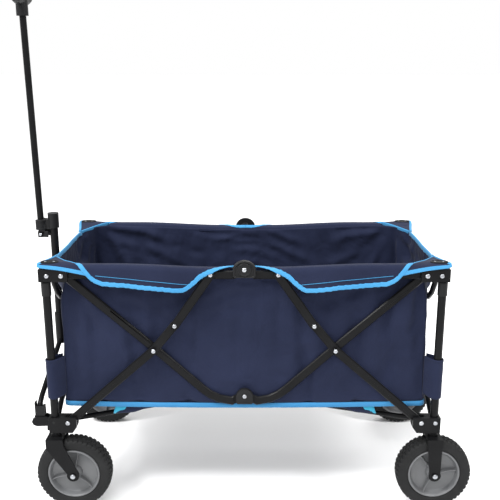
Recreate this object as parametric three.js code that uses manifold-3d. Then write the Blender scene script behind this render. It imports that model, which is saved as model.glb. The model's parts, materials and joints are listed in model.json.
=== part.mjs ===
// Folding fabric wagon with a pull handle. Millimetres, +Z up, handle towards -X, sides at -Y and +Y.
import * as THREE from 'three';
import { mergeVertices } from 'three/addons/utils/BufferGeometryUtils.js';
import Module from 'manifold-3d';

const wasm = await Module();
wasm.setup();

// ---- frame: pivots measured from the middle of the wagon -------------------------------------
const LEG_X = 448;
const LEG_Y = 216;
const PIVOT_X = 412;
const TOP_PIVOT_Z = 580;
const LOW_PIVOT_Z = 219;
const CROSS_X = 209;
const CROSS_Z = (TOP_PIVOT_Z + LOW_PIVOT_Z) / 2;
// The long links curve into the bottom hub: the bend, from its outer end to its lowest point.
const LINK_BEND = [[98, 297], [80, 283], [60, 273], [30, 267]];
const BOTTOM_HUB_Z = 282;
const LINK_X = 159;
const LINK_Z = 461;
const RAIL_LINK_X = 76;
const RAIL_LINK_Z = 582;
const TOP_HUB_Z = TOP_PIVOT_Z + 15;
const HUB_NECK_X = 24;

// ---- side bars: flat oval tube in three layers, measured outward from the middle plane ---------
const BAR_HALF_HEIGHT = 10;
const BAR_BEVEL = 2.6;
const LAYER_A = [203.5, 211.5];
const LAYER_B = [212.5, 220.5];
const LAYER_C = [221.5, 229.5];
const LAP_LENGTH = 26;
const LAP_GAP = 0.2;
const PIN_RADIUS = 4;
const PIN_HOLE_RADIUS = 4.6;
const PIN_SIDES = 12;
const HUB_CAP_RADIUS = 25;
const BOTTOM_CAP_RADIUS = 14;

// ---- legs and brackets -------------------------------------------------------------------------
const LEG_RADIUS = 9.5;
const LEG_BORE = 8.2;
const LEG_BOTTOM = 196.4;
const LEG_TOP = 545;
const LEG_SIDES = 16;
const INNER_TUBE_RADIUS = 7.5;
const INNER_TUBE_BOTTOM = 252;
const COLLAR_RADIUS = 11.2;
const COLLAR_BOTTOM = 531;
const COLLAR_TOP = 563;
const BRACKET_IN = 201.5;
const BRACKET_OUT = 229.5;
const BRACKET_NEAR_X = 396;
const BRACKET_FAR_X = 461;
const LOW_BRACKET_BOTTOM = 194;
const LOW_BRACKET_TOP = 232;
const TOP_BRACKET_BOTTOM = 566;
const TOP_BRACKET_TOP = 595;
const BRACKET_WALL = 1.6;
const SLOT_END_X = 424.5;
const BORE_CLEARANCE = 0.5;

// ---- braces across the two ends ----------------------------------------------------------------
const BRACE_RADIUS = 6.5;
const TOP_BRACE_X = 437;
const LOW_BRACE_X = 448;

// ---- bars under the floor ----------------------------------------------------------------------
const BASE_PIVOT_Z = 214;
const BASE_HUB_Z = BASE_PIVOT_Z - 15;
const BASE_EYE = [187, 199.5];
const BASE_BAR_RADIUS = 6;
const BASE_EYE_RADIUS = 9;
const FRONT_KNUCKLE = [-9.5, 9.5];
const REAR_KNUCKLE = [15, 29];

// ---- wheels ------------------------------------------------------------------------------------
const WHEEL_RADIUS = 89;
const WHEEL_SIDES = 32;
const TYRE_HALF_WIDTH = 21.5;
const RIM_RADIUS = 62;
const FRONT_WHEEL_X = 408;
const REAR_WHEEL_X = 452;
const FORK_IN = 24.5;
const FORK_OUT = 27.5;
const FORK_TOP = 182.5;
const FORK_PLATE = 3;
const FORK_STEM_TOP = 193.5;
const FORK_STEM_RADIUS = 12;
const FORK_END_RADIUS = 15;
const AXLE_RADIUS = 4;
const AXLE_HEAD_RADIUS = 7.5;
const AXLE_HEAD = 4;

// ---- fabric bin --------------------------------------------------------------------------------
const BIN_HALF_LENGTH = 421.5;
const BIN_HALF_WIDTH = 199.5;
const BIN_BOTTOM = 246;
const BIN_TOP = 612;
const BIN_WALL = 3;
const BIN_FLOOR = 6;
const BIN_CORNER = 22;

// ---- pull handle -------------------------------------------------------------------------------
const TOW_X = -488;
const TOW_Y = 195;
const TOW_Z = 213;
const YOKE_TOP_Z = 350;
const HANDLE_X = -479;
const MAIN_TUBE_RADIUS = 10;
const MAIN_TUBE_TOP = 664;
const FOLD_X = -510;
const FOLD_Z = 625;
const UPPER_TUBE_RADIUS = 8;
const UPPER_TUBE_TOP = 1158;
const UPPER_LEAN = -9 / 540;
const GRIP_BOTTOM = 1147;
const GRIP_COLLAR_TOP = 1176;
const GRIP_TOP = 1256;
const GRIP_HALF_WIDTH = 60;

// ---- colours -----------------------------------------------------------------------------------
const FINISH = {
  steel: { color: 0x17181b, roughness: 0.45, metalness: 0.4 },
  plastic: { color: 0x121316, roughness: 0.6, metalness: 0 },
  rubber: { color: 0x1f2022, roughness: 0.85, metalness: 0 },
  rim: { color: 0x83878c, roughness: 0.45, metalness: 0.1 },
  zinc: { color: 0xb9c2c9, roughness: 0.3, metalness: 1 },
  fabric: { color: 0x20263f, roughness: 0.9, metalness: 0 },
};

// ---- helpers -----------------------------------------------------------------------------------
function toSolid(geometry) {
  const bare = geometry.index ? geometry.toNonIndexed() : geometry.clone();
  bare.deleteAttribute('normal');
  bare.deleteAttribute('uv');
  const merged = mergeVertices(bare, 1e-4);
  return new wasm.Manifold(new wasm.Mesh({
    numProp: 3,
    vertProperties: new Float32Array(merged.attributes.position.array),
    triVerts: new Uint32Array(merged.index.array),
  }));
}

function fromSolid(solid) {
  const mesh = solid.getMesh();
  const geometry = new THREE.BufferGeometry();
  geometry.setAttribute('position', new THREE.BufferAttribute(new Float32Array(mesh.vertProperties), 3));
  geometry.setIndex(new THREE.BufferAttribute(new Uint32Array(mesh.triVerts), 1));
  geometry.computeVertexNormals();
  return geometry;
}

function join(parts) {
  return parts.reduce((whole, piece) => whole.add(piece));
}

function cut(whole, tools) {
  return tools.reduce((rest, tool) => rest.subtract(tool), whole);
}

function block(x, y, z) {
  const geometry = new THREE.BoxGeometry(x[1] - x[0], y[1] - y[0], z[1] - z[0]);
  geometry.translate((x[0] + x[1]) / 2, (y[0] + y[1]) / 2, (z[0] + z[1]) / 2);
  return toSolid(geometry);
}

function span(a, b) {
  return a < b ? [a, b] : [b, a];
}

// A box given by its distances outward from the middle of the wagon, on one end and one side.
function cornerBlock(end, side, x, out, z) {
  return block(span(end * x[0], end * x[1]), span(side * out[0], side * out[1]), z);
}

function pinAlongY(x, z, y, radius, sides = PIN_SIDES) {
  const geometry = new THREE.CylinderGeometry(radius, radius, Math.abs(y[1] - y[0]), sides);
  geometry.translate(x, (y[0] + y[1]) / 2, z);
  return toSolid(geometry);
}

function postAlongZ(x, y, z, radius, sides = LEG_SIDES) {
  const geometry = new THREE.CylinderGeometry(radius, radius, z[1] - z[0], sides);
  geometry.rotateX(Math.PI / 2);
  geometry.translate(x, y, (z[0] + z[1]) / 2);
  return toSolid(geometry);
}

function rodBetween(from, to, radius, sides = 12) {
  const start = new THREE.Vector3(...from);
  const finish = new THREE.Vector3(...to);
  const direction = finish.clone().sub(start);
  const geometry = new THREE.CylinderGeometry(radius, radius, direction.length(), sides);
  const turn = new THREE.Quaternion().setFromUnitVectors(
    new THREE.Vector3(0, 1, 0), direction.clone().normalize());
  geometry.applyQuaternion(turn);
  const middle = start.add(finish).multiplyScalar(0.5);
  geometry.translate(middle.x, middle.y, middle.z);
  return toSolid(geometry);
}

// The outline of a bar that follows a bent line and has round ends.
function barOutline(points, halfWidth, endSegments = 4) {
  const path = points.map((p) => new THREE.Vector2(p[0], p[1]));
  const last = path.length - 1;
  const directions = path.slice(1).map((p, i) => p.clone().sub(path[i]).normalize());
  const outline = [];
  const addEnd = (centre, direction) => {
    const start = Math.atan2(direction.y, direction.x) - Math.PI / 2;
    for (let i = 0; i <= endSegments; i += 1) {
      const angle = start + (Math.PI * i) / endSegments;
      outline.push(new THREE.Vector2(
        centre.x + halfWidth * Math.cos(angle), centre.y + halfWidth * Math.sin(angle)));
    }
  };
  const addCorner = (index, hand) => {
    const before = directions[index - 1];
    const after = directions[index];
    const normal = new THREE.Vector2(-before.y - after.y, before.x + after.x).normalize();
    const reach = halfWidth / (normal.x * -before.y + normal.y * before.x);
    outline.push(path[index].clone().addScaledVector(normal, hand * reach));
  };
  addEnd(path[last], directions[last - 1]);
  for (let i = last - 1; i > 0; i -= 1) addCorner(i, 1);
  addEnd(path[0], directions[0].clone().negate());
  for (let i = 1; i < last; i += 1) addCorner(i, -1);
  return outline;
}

// A plate whose outline lies in the X-Z plane and whose thickness runs along Y.
function sidePlate(outline, y, bevel = 0) {
  const depth = y[1] - y[0];
  const geometry = new THREE.ExtrudeGeometry(new THREE.Shape(outline), {
    depth: depth - 2 * bevel,
    bevelEnabled: bevel > 0,
    bevelThickness: bevel,
    bevelSize: bevel,
    bevelOffset: -bevel,
    bevelSegments: 1,
    curveSegments: 8,
  });
  geometry.rotateX(Math.PI / 2);
  geometry.translate(0, y[1] - bevel, 0);
  return toSolid(geometry);
}

function sideBar(end, side, points, layer) {
  const outline = barOutline(points.map((p) => [end * p[0], p[1]]), BAR_HALF_HEIGHT);
  return sidePlate(outline, span(side * layer[0], side * layer[1]), BAR_BEVEL);
}

function tubeAlong(points, radius, steps) {
  const path = new THREE.CatmullRomCurve3(points.map((p) => new THREE.Vector3(...p)), false, 'catmullrom', 0.3);
  const circle = new THREE.Shape();
  const sides = 10;
  for (let i = 0; i < sides; i += 1) {
    const angle = (2 * Math.PI * i) / sides;
    if (i === 0) circle.moveTo(radius * Math.cos(angle), radius * Math.sin(angle));
    else circle.lineTo(radius * Math.cos(angle), radius * Math.sin(angle));
  }
  return toSolid(new THREE.ExtrudeGeometry(circle, { steps, extrudePath: path, bevelEnabled: false }));
}

// A ring or tube turned about an axis; the profile is a closed loop of [radius, height].
function turned(profile, sides) {
  const loop = [...profile, profile[0]].map((p) => new THREE.Vector2(p[0], p[1]));
  return new THREE.LatheGeometry(loop, sides);
}

function endName(end) {
  return end < 0 ? 'front' : 'rear';
}

function sideName(side) {
  return side < 0 ? 'near' : 'far';
}

const wagon = new THREE.Group();

function addMesh(name, shape, finish) {
  const geometry = shape instanceof THREE.BufferGeometry ? shape : fromSolid(shape);
  const material = new THREE.MeshStandardMaterial(FINISH[finish]);
  material.name = finish;
  const mesh = new THREE.Mesh(geometry, material);
  mesh.name = name;
  wagon.add(mesh);
}

// ---- brackets, legs and end frames ---------------------------------------------------------------
function lowBracket(end, side) {
  const body = cornerBlock(end, side, [BRACKET_NEAR_X, BRACKET_FAR_X], [BRACKET_IN, BRACKET_OUT],
    [LOW_BRACKET_BOTTOM, LOW_BRACKET_TOP]);
  const bore = postAlongZ(end * LEG_X, side * LEG_Y, [LEG_BOTTOM - 0.4, LOW_BRACKET_TOP + 1],
    LEG_RADIUS + BORE_CLEARANCE);
  const slot = cornerBlock(end, side, [BRACKET_NEAR_X - 1, SLOT_END_X],
    [LAYER_B[0] - BORE_CLEARANCE, LAYER_B[1] + BORE_CLEARANCE],
    [LOW_PIVOT_Z - BAR_HALF_HEIGHT - 1.5, LOW_BRACKET_TOP + 1]);
  const chamfer = sidePlate([[396, 194], [406, 194], [396, 208]].map((p) => new THREE.Vector2(end * p[0], p[1])),
    span(side * (BRACKET_IN - 1), side * (BRACKET_OUT + 1)));
  const pin = pinAlongY(end * PIVOT_X, LOW_PIVOT_Z, [side * (BRACKET_IN + 2), side * (BRACKET_OUT - 1)], PIN_RADIUS);
  const basePin = pinAlongY(end * PIVOT_X, BASE_PIVOT_Z, [side * BASE_EYE[0], side * (BRACKET_IN + 1)], PIN_RADIUS);
  return join([cut(body, [bore, slot, chamfer]), pin, basePin]);
}

function lowerFrame(end) {
  const reach = BRACKET_IN + 1;
  const brace = tubeAlong([
    [end * LOW_BRACE_X, -reach, 213],
    [end * LOW_BRACE_X, -188, 220],
    [end * LOW_BRACE_X, -150, 243],
    [end * LOW_BRACE_X, -115, 252],
    [end * LOW_BRACE_X, 115, 252],
    [end * LOW_BRACE_X, 150, 243],
    [end * LOW_BRACE_X, 188, 220],
    [end * LOW_BRACE_X, reach, 213],
  ], BRACE_RADIUS, 14);
  addMesh(`${endName(end)}_lower_frame`, join([lowBracket(end, -1), lowBracket(end, 1), brace]), 'steel');
}

function topBracket(end, side) {
  const body = cornerBlock(end, side, [BRACKET_NEAR_X, BRACKET_FAR_X], [BRACKET_IN, BRACKET_OUT],
    [TOP_BRACKET_BOTTOM, TOP_BRACKET_TOP]);
  const slot = cornerBlock(end, side, [BRACKET_NEAR_X - 1, SLOT_END_X],
    [LAYER_A[0] - BORE_CLEARANCE, LAYER_B[1] + BORE_CLEARANCE],
    [TOP_BRACKET_BOTTOM - 1, TOP_PIVOT_Z + BAR_HALF_HEIGHT + 1]);
  const pin = pinAlongY(end * PIVOT_X, TOP_PIVOT_Z, [side * (BRACKET_IN + 0.8), side * (BRACKET_OUT - 1)], PIN_RADIUS);
  const tube = postAlongZ(end * LEG_X, side * LEG_Y, [INNER_TUBE_BOTTOM, TOP_BRACKET_TOP - 2], INNER_TUBE_RADIUS);
  return join([cut(body, [slot]), pin, tube]);
}

function topFrame(end) {
  const reach = BRACKET_IN + 1;
  const brace = tubeAlong([
    [end * TOP_BRACE_X, -reach, 578],
    [end * TOP_BRACE_X, -194, 560],
    [end * TOP_BRACE_X, -158, 516],
    [end * TOP_BRACE_X, -120, 500],
    [end * TOP_BRACE_X, 120, 500],
    [end * TOP_BRACE_X, 158, 516],
    [end * TOP_BRACE_X, 194, 560],
    [end * TOP_BRACE_X, reach, 578],
  ], BRACE_RADIUS, 14);
  addMesh(`${endName(end)}_top_frame`, join([topBracket(end, -1), topBracket(end, 1), brace]), 'steel');
}

function leg(end, side) {
  const tube = turned([
    [LEG_BORE, LEG_BOTTOM], [LEG_RADIUS, LEG_BOTTOM], [LEG_RADIUS, LEG_TOP], [LEG_BORE, LEG_TOP],
  ], LEG_SIDES);
  tube.rotateX(Math.PI / 2);
  tube.translate(end * LEG_X, side * LEG_Y, 0);
  addMesh(`leg_${endName(end)}_${sideName(side)}`, toSolid(tube), 'steel');
}

function collar(end, side) {
  const step = LEG_TOP + 0.5;
  const ring = turned([
    [LEG_RADIUS + 0.4, COLLAR_BOTTOM], [COLLAR_RADIUS, COLLAR_BOTTOM], [COLLAR_RADIUS, COLLAR_TOP],
    [INNER_TUBE_RADIUS + 0.5, COLLAR_TOP], [INNER_TUBE_RADIUS + 0.5, step], [LEG_RADIUS + 0.4, step],
  ], LEG_SIDES);
  ring.rotateX(Math.PI / 2);
  ring.translate(end * LEG_X, side * LEG_Y, 0);
  addMesh(`collar_${endName(end)}_${sideName(side)}`, toSolid(ring), 'plastic');
}

// ---- the folding bars on the two sides -------------------------------------------------------------
function hole(end, side, x, z, out) {
  return pinAlongY(end * x, z, [side * (out[0] - 1), side * (out[1] + 1)], PIN_HOLE_RADIUS);
}

// Cuts away half of a bar's thickness near the middle, so that two bars can lap on one bolt.
function lapCut(end, side, layer, keepInner) {
  const middle = (layer[0] + layer[1]) / 2;
  const out = keepInner ? [middle - LAP_GAP, layer[1] + 1] : [layer[0] - 1, middle + LAP_GAP];
  return cornerBlock(end, side, [-LAP_LENGTH, LAP_LENGTH], out, [BOTTOM_HUB_Z - 60, TOP_HUB_Z + 60]);
}

function rail(end, side) {
  const inner = end < 0;
  let bar = sideBar(end, side, [
    [PIVOT_X, TOP_PIVOT_Z], [HUB_NECK_X, TOP_PIVOT_Z], [0, TOP_HUB_Z],
  ], LAYER_B);
  bar = cut(bar, [hole(end, side, PIVOT_X, TOP_PIVOT_Z, LAYER_B), lapCut(end, side, LAYER_B, inner)]);
  const linkPin = pinAlongY(end * RAIL_LINK_X, RAIL_LINK_Z,
    [side * (LAYER_B[1] - 2), side * (LAYER_C[1] - 1)], PIN_RADIUS);
  const parts = [bar, linkPin];
  if (inner) {
    parts.push(pinAlongY(0, TOP_HUB_Z, [side * (LAYER_B[0] + 1), side * (LAYER_C[0] + 4)], PIN_RADIUS));
  } else {
    parts[0] = cut(bar, [hole(end, side, 0, TOP_HUB_Z, LAYER_B)]);
  }
  addMesh(`rail_${endName(end)}_${sideName(side)}`, join(parts), 'steel');
}

function longLink(end, side) {
  let bar = sideBar(end, side, [
    [PIVOT_X, TOP_PIVOT_Z], [CROSS_X, CROSS_Z], ...LINK_BEND, [0, BOTTOM_HUB_Z],
  ], LAYER_A);
  bar = cut(bar, [
    hole(end, side, PIVOT_X, TOP_PIVOT_Z, LAYER_A),
    hole(end, side, CROSS_X, CROSS_Z, LAYER_A),
    lapCut(end, side, LAYER_A, end < 0),
  ]);
  addMesh(`link_long_${endName(end)}_${sideName(side)}`, bar, 'steel');
}

function bentLink(end, side) {
  let bar = sideBar(end, side, [
    [PIVOT_X, LOW_PIVOT_Z], [CROSS_X, CROSS_Z], [LINK_X, LINK_Z],
  ], LAYER_B);
  bar = cut(bar, [hole(end, side, PIVOT_X, LOW_PIVOT_Z, LAYER_B)]);
  const crossPin = pinAlongY(end * CROSS_X, CROSS_Z, [side * (LAYER_A[0] + 1), side * (LAYER_B[0] + 2)], PIN_RADIUS);
  addMesh(`link_bent_${endName(end)}_${sideName(side)}`, join([bar, crossPin]), 'steel');
}

function shortLink(end, side) {
  const bar = sideBar(end, side, [[LINK_X, LINK_Z], [RAIL_LINK_X, RAIL_LINK_Z]], LAYER_C);
  addMesh(`link_short_${endName(end)}_${sideName(side)}`,
    cut(bar, [hole(end, side, RAIL_LINK_X, RAIL_LINK_Z, LAYER_C)]), 'steel');
}

function topHubCap(side) {
  const out = [LAYER_C[0] - 0.4, LAYER_C[1] - 0.5];
  const disc = pinAlongY(0, TOP_HUB_Z, [side * out[0], side * out[1]], HUB_CAP_RADIUS, 24);
  const bore = pinAlongY(0, TOP_HUB_Z, [side * (out[0] - 1), side * (LAYER_C[0] + 4.5)], PIN_HOLE_RADIUS);
  addMesh(`top_hub_cap_${sideName(side)}`, cut(disc, [bore]), 'plastic');
}

function bottomHubCap(side) {
  const out = [LAYER_A[1] + 0.4, LAYER_A[1] + 5.5];
  addMesh(`bottom_hub_cap_${sideName(side)}`,
    pinAlongY(0, BOTTOM_HUB_Z, [side * out[0], side * out[1]], BOTTOM_CAP_RADIUS, 20), 'plastic');
}

// ---- the four bars under the floor, welded in two pairs --------------------------------------------
function basePair(end) {
  const knuckle = end < 0 ? FRONT_KNUCKLE : REAR_KNUCKLE;
  const innerY = end < 0 ? 3 : 23;
  const parts = [];
  for (const side of [-1, 1]) {
    parts.push(pinAlongY(end * PIVOT_X, BASE_PIVOT_Z, [side * BASE_EYE[0], side * BASE_EYE[1]], BASE_EYE_RADIUS));
    parts.push(rodBetween([end * (PIVOT_X - 4), side * 193, BASE_PIVOT_Z], [end * 5, side * innerY, BASE_HUB_Z],
      BASE_BAR_RADIUS));
    if (end > 0) {
      parts.push(pinAlongY(0, BASE_HUB_Z, [side * knuckle[0], side * knuckle[1]], BASE_EYE_RADIUS));
    }
  }
  if (end < 0) parts.push(pinAlongY(0, BASE_HUB_Z, knuckle, BASE_EYE_RADIUS));
  const tie = block(span(end * 40, end * 52), [-34, 34], [BASE_HUB_Z - 3, BASE_HUB_Z + 3]);
  parts.push(tie);
  const holes = [-1, 1].map((side) => hole(end, side, PIVOT_X, BASE_PIVOT_Z, BASE_EYE));
  addMesh(`base_bars_${endName(end)}`, cut(join(parts), holes), 'steel');
}

// ---- wheels and forks ------------------------------------------------------------------------------
function wheelX(end) {
  return end < 0 ? -FRONT_WHEEL_X : REAR_WHEEL_X;
}

function placeWheelPart(geometry, end, side) {
  geometry.rotateY(Math.PI / WHEEL_SIDES);
  geometry.translate(wheelX(end), side * LEG_Y, WHEEL_RADIUS);
  return toSolid(geometry);
}

function tyre(end, side) {
  const outer = WHEEL_RADIUS / Math.cos(Math.PI / WHEEL_SIDES);
  const bead = RIM_RADIUS + 0.7;
  const wide = TYRE_HALF_WIDTH;
  const ring = turned([
    [bead, -wide + 3], [bead + 7, -wide], [outer - 8, -wide], [outer, -wide + 7],
    [outer, wide - 7], [outer - 8, wide], [bead + 7, wide], [bead, wide - 3],
  ], WHEEL_SIDES);
  addMesh(`tyre_${endName(end)}_${sideName(side)}`, placeWheelPart(ring, end, side), 'rubber');
}

function rim(end, side) {
  const bore = AXLE_RADIUS + 0.8;
  const disc = turned([
    [bore, -21], [13, -21], [15, -5], [50, -5], [55, -17.5], [RIM_RADIUS, -18.5],
    [RIM_RADIUS, 18.5], [55, 17.5], [50, 5], [15, 5], [13, 21], [bore, 21],
  ], WHEEL_SIDES);
  addMesh(`rim_${endName(end)}_${sideName(side)}`, placeWheelPart(disc, end, side), 'rim');
}

function fork(end, side) {
  const axleX = wheelX(end);
  const postX = end * LEG_X;
  const half = end < 0 ? 20 : 18;
  const top = FORK_TOP;
  const shoulder = end < 0
    ? [[postX - half, top], [postX - half, top - 22], [axleX - 14, WHEEL_RADIUS + 4]]
    : [[postX - half, top], [axleX - 13, WHEEL_RADIUS + 6]];
  const heel = end < 0
    ? [[axleX + 14, WHEEL_RADIUS + 6], [postX + half + 2, top - 16], [postX + half, top]]
    : [[axleX + 13, WHEEL_RADIUS + 6], [postX + half, top]];
  const arc = [];
  for (let i = 0; i <= 6; i += 1) {
    const angle = Math.PI + (Math.PI * i) / 6;
    arc.push([axleX + FORK_END_RADIUS * Math.cos(angle), WHEEL_RADIUS + FORK_END_RADIUS * Math.sin(angle)]);
  }
  const outline = [...shoulder, ...arc, ...heel].map((p) => new THREE.Vector2(p[0], p[1]));
  const parts = [-1, 1].map((hand) => sidePlate(outline,
    span(side * LEG_Y + hand * FORK_IN, side * LEG_Y + hand * FORK_OUT)));
  parts.push(block([postX - half, postX + half], [side * LEG_Y - FORK_IN - 1, side * LEG_Y + FORK_IN + 1],
    [FORK_TOP - FORK_PLATE, FORK_TOP]));
  parts.push(postAlongZ(postX, side * LEG_Y, [FORK_TOP - 1, FORK_STEM_TOP], FORK_STEM_RADIUS));
  const bore = pinAlongY(axleX, WHEEL_RADIUS, [side * LEG_Y - 40, side * LEG_Y + 40], AXLE_RADIUS + 0.6);
  addMesh(`fork_${endName(end)}_${sideName(side)}`, cut(join(parts), [bore]), 'steel');
}

function axle(end, side) {
  const x = wheelX(end);
  const middle = side * LEG_Y;
  const head = FORK_OUT + 0.4;
  addMesh(`axle_${endName(end)}_${sideName(side)}`, join([
    pinAlongY(x, WHEEL_RADIUS, [middle - head - 1, middle + head + 1], AXLE_RADIUS),
    pinAlongY(x, WHEEL_RADIUS, [middle - head - AXLE_HEAD, middle - head], AXLE_HEAD_RADIUS),
    pinAlongY(x, WHEEL_RADIUS, [middle + head, middle + head + AXLE_HEAD], AXLE_HEAD_RADIUS),
  ]), 'zinc');
}

// ---- fabric bin ------------------------------------------------------------------------------------
function roundedBox(halfLength, halfWidth, radius, z) {
  const outline = [];
  const corners = [[1, 1, 0], [-1, 1, 90], [-1, -1, 180], [1, -1, 270]];
  for (const [sx, sy, start] of corners) {
    for (let i = 0; i <= 4; i += 1) {
      const angle = THREE.MathUtils.degToRad(start + (90 * i) / 4);
      outline.push(new THREE.Vector2(sx * (halfLength - radius) + radius * Math.cos(angle),
        sy * (halfWidth - radius) + radius * Math.sin(angle)));
    }
  }
  const geometry = new THREE.ExtrudeGeometry(new THREE.Shape(outline), { depth: z[1] - z[0], bevelEnabled: false });
  geometry.translate(0, 0, z[0]);
  return toSolid(geometry);
}

function bin() {
  const outside = roundedBox(BIN_HALF_LENGTH, BIN_HALF_WIDTH, BIN_CORNER, [BIN_BOTTOM, BIN_TOP]);
  const inside = roundedBox(BIN_HALF_LENGTH - BIN_WALL, BIN_HALF_WIDTH - BIN_WALL, BIN_CORNER - BIN_WALL,
    [BIN_BOTTOM + BIN_FLOOR, BIN_TOP + 1]);
  addMesh('bin', cut(outside, [inside]), 'fabric');
}

// ---- pull handle -----------------------------------------------------------------------------------
function towBracket(side) {
  const outline = barOutline([[-474, 212], [-496, 211]], 12);
  const plates = [[184.6, 187], [203, 205.4]].map((out) => sidePlate(outline, span(side * out[0], side * out[1])));
  const web = cornerBlock(-1, side, [462, 466], [184.6, BRACKET_OUT - 4], [199, 224]);
  const floor = cornerBlock(-1, side, [464, 478], [185, 205], [200, 202]);
  const pin = pinAlongY(TOW_X, TOW_Z, [side * 185.6, side * 204.4], PIN_RADIUS);
  addMesh(`tow_bracket_${sideName(side)}`, join([...plates, web, floor, pin]), 'steel');
}

function yokeSocket(side) {
  const body = sidePlate(barOutline([[TOW_X, TOW_Z], [TOW_X + 0.4, TOW_Z + 24]], 11.5), span(side * 188, side * 202));
  const top = cornerBlock(-1, side, [476.5, 499.5], [188, 202], [TOW_Z + 12, TOW_Z + 37]);
  const fin = cornerBlock(-1, side, [497, 499.5], [188, 202], [TOW_Z + 30, TOW_Z + 46]);
  const bore = pinAlongY(TOW_X, TOW_Z, [side * 187, side * 203], PIN_HOLE_RADIUS);
  const recess = postAlongZ(TOW_X, side * TOW_Y, [TOW_Z + 22, TOW_Z + 50], BRACE_RADIUS + 0.4, 12);
  const mouth = cornerBlock(-1, side, [-TOW_X - BRACE_RADIUS - 0.4, -TOW_X + BRACE_RADIUS + 0.4], [187, TOW_Y],
    [TOW_Z + 22, TOW_Z + 50]);
  addMesh(`yoke_socket_${sideName(side)}`, cut(join([body, top, fin]), [bore, recess, mouth]), 'plastic');
}

function yoke() {
  const parts = [];
  const foot = TOW_Z + 22.5;
  for (const side of [-1, 1]) {
    parts.push(tubeAlong([
      [TOW_X, side * TOW_Y, foot],
      [TOW_X, side * TOW_Y, foot + 14],
      [TOW_X + 1, side * (TOW_Y - 14), foot + 30],
      [HANDLE_X - 1, side * 30, YOKE_TOP_Z - 14],
      [HANDLE_X, 0, YOKE_TOP_Z],
    ], BRACE_RADIUS, 12));
  }
  parts.push(postAlongZ(HANDLE_X, 0, [YOKE_TOP_Z - 16, YOKE_TOP_Z + 66], MAIN_TUBE_RADIUS + 3));
  const seat = postAlongZ(HANDLE_X, 0, [YOKE_TOP_Z + 12, YOKE_TOP_Z + 70], MAIN_TUBE_RADIUS + 0.4);
  addMesh('handle_yoke', cut(join(parts), [seat]), 'steel');
}

function mainTube() {
  addMesh('handle_main_tube',
    postAlongZ(HANDLE_X, 0, [YOKE_TOP_Z + 12.4, MAIN_TUBE_TOP], MAIN_TUBE_RADIUS), 'steel');
}

function clipCap() {
  const clipZ = [637, 662];
  const cap = postAlongZ(HANDLE_X, 0, [640, 677], 13.5);
  const arm = block([FOLD_X + 4, HANDLE_X], [-9, 9], clipZ);
  const ring = postAlongZ(FOLD_X, 0, clipZ, 12.8);
  const ears = [-1, 1].map((hand) => sidePlate(barOutline([[FOLD_X, FOLD_Z], [FOLD_X + 6, 645]], 7.5),
    span(hand * 9, hand * 12)));
  const opening = postAlongZ(FOLD_X, 0, [630, 670], UPPER_TUBE_RADIUS + 0.9);
  const mouth = block([FOLD_X - 20, FOLD_X], [-UPPER_TUBE_RADIUS - 0.9, UPPER_TUBE_RADIUS + 0.9], [600, 670]);
  const bore = postAlongZ(HANDLE_X, 0, [630, MAIN_TUBE_TOP + 1], MAIN_TUBE_RADIUS + 0.4);
  const pin = pinAlongY(FOLD_X, FOLD_Z, [-11, 11], 3);
  addMesh('handle_clip_cap', join([cut(join([cap, arm, ring, ...ears]), [opening, mouth, bore]), pin]), 'plastic');
}

function upperTube() {
  const topX = FOLD_X + UPPER_LEAN * (UPPER_TUBE_TOP - FOLD_Z);
  const tube = rodBetween([FOLD_X, 0, FOLD_Z - 5.5], [topX, 0, UPPER_TUBE_TOP], UPPER_TUBE_RADIUS, LEG_SIDES);
  const bore = pinAlongY(FOLD_X, FOLD_Z, [-20, 20], 3.6);
  addMesh('handle_upper_tube', cut(tube, [bore]), 'steel');
}

function grip() {
  const topX = FOLD_X + UPPER_LEAN * (UPPER_TUBE_TOP - FOLD_Z);
  const outline = [];
  const inner = [];
  const middle = (GRIP_COLLAR_TOP + GRIP_TOP) / 2 - 2;
  const halfHeight = GRIP_TOP - middle;
  const steps = 20;
  for (let i = 0; i < steps; i += 1) {
    const angle = (2 * Math.PI * i) / steps;
    const c = Math.cos(angle);
    const s = Math.sin(angle);
    const squareC = Math.sign(c) * Math.sqrt(Math.abs(c));
    const squareS = Math.sign(s) * Math.sqrt(Math.abs(s));
    outline.push(new THREE.Vector2(GRIP_HALF_WIDTH * squareC, halfHeight * squareS));
    inner.push(new THREE.Vector2((GRIP_HALF_WIDTH - 17) * squareC, (halfHeight - 18) * squareS));
  }
  const shape = new THREE.Shape(outline);
  const bevel = 6;
  const geometry = new THREE.ExtrudeGeometry(shape, {
    depth: 24 - 2 * bevel, bevelEnabled: true, bevelThickness: bevel, bevelSize: bevel, bevelOffset: -bevel,
    bevelSegments: 1,
  });
  const gap = new THREE.ExtrudeGeometry(new THREE.Shape(inner), { depth: 60, bevelEnabled: false });
  for (const piece of [geometry, gap]) {
    piece.translate(0, 0, piece === gap ? -30 : -12 + bevel);
    piece.rotateX(Math.PI / 2);
    piece.rotateZ(Math.PI / 2);
    piece.translate(topX - 0.5, 0, middle);
  }
  const collarSolid = postAlongZ(topX - 0.2, 0, [GRIP_BOTTOM, GRIP_COLLAR_TOP + 6], 14);
  const bore = rodBetween([FOLD_X, 0, FOLD_Z], [topX, 0, UPPER_TUBE_TOP + 0.5], UPPER_TUBE_RADIUS + 0.5, LEG_SIDES);
  const loop = toSolid(geometry).subtract(toSolid(gap));
  addMesh('handle_grip', cut(join([loop, collarSolid.subtract(toSolid(gap))]), [bore]), 'plastic');
}

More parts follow.
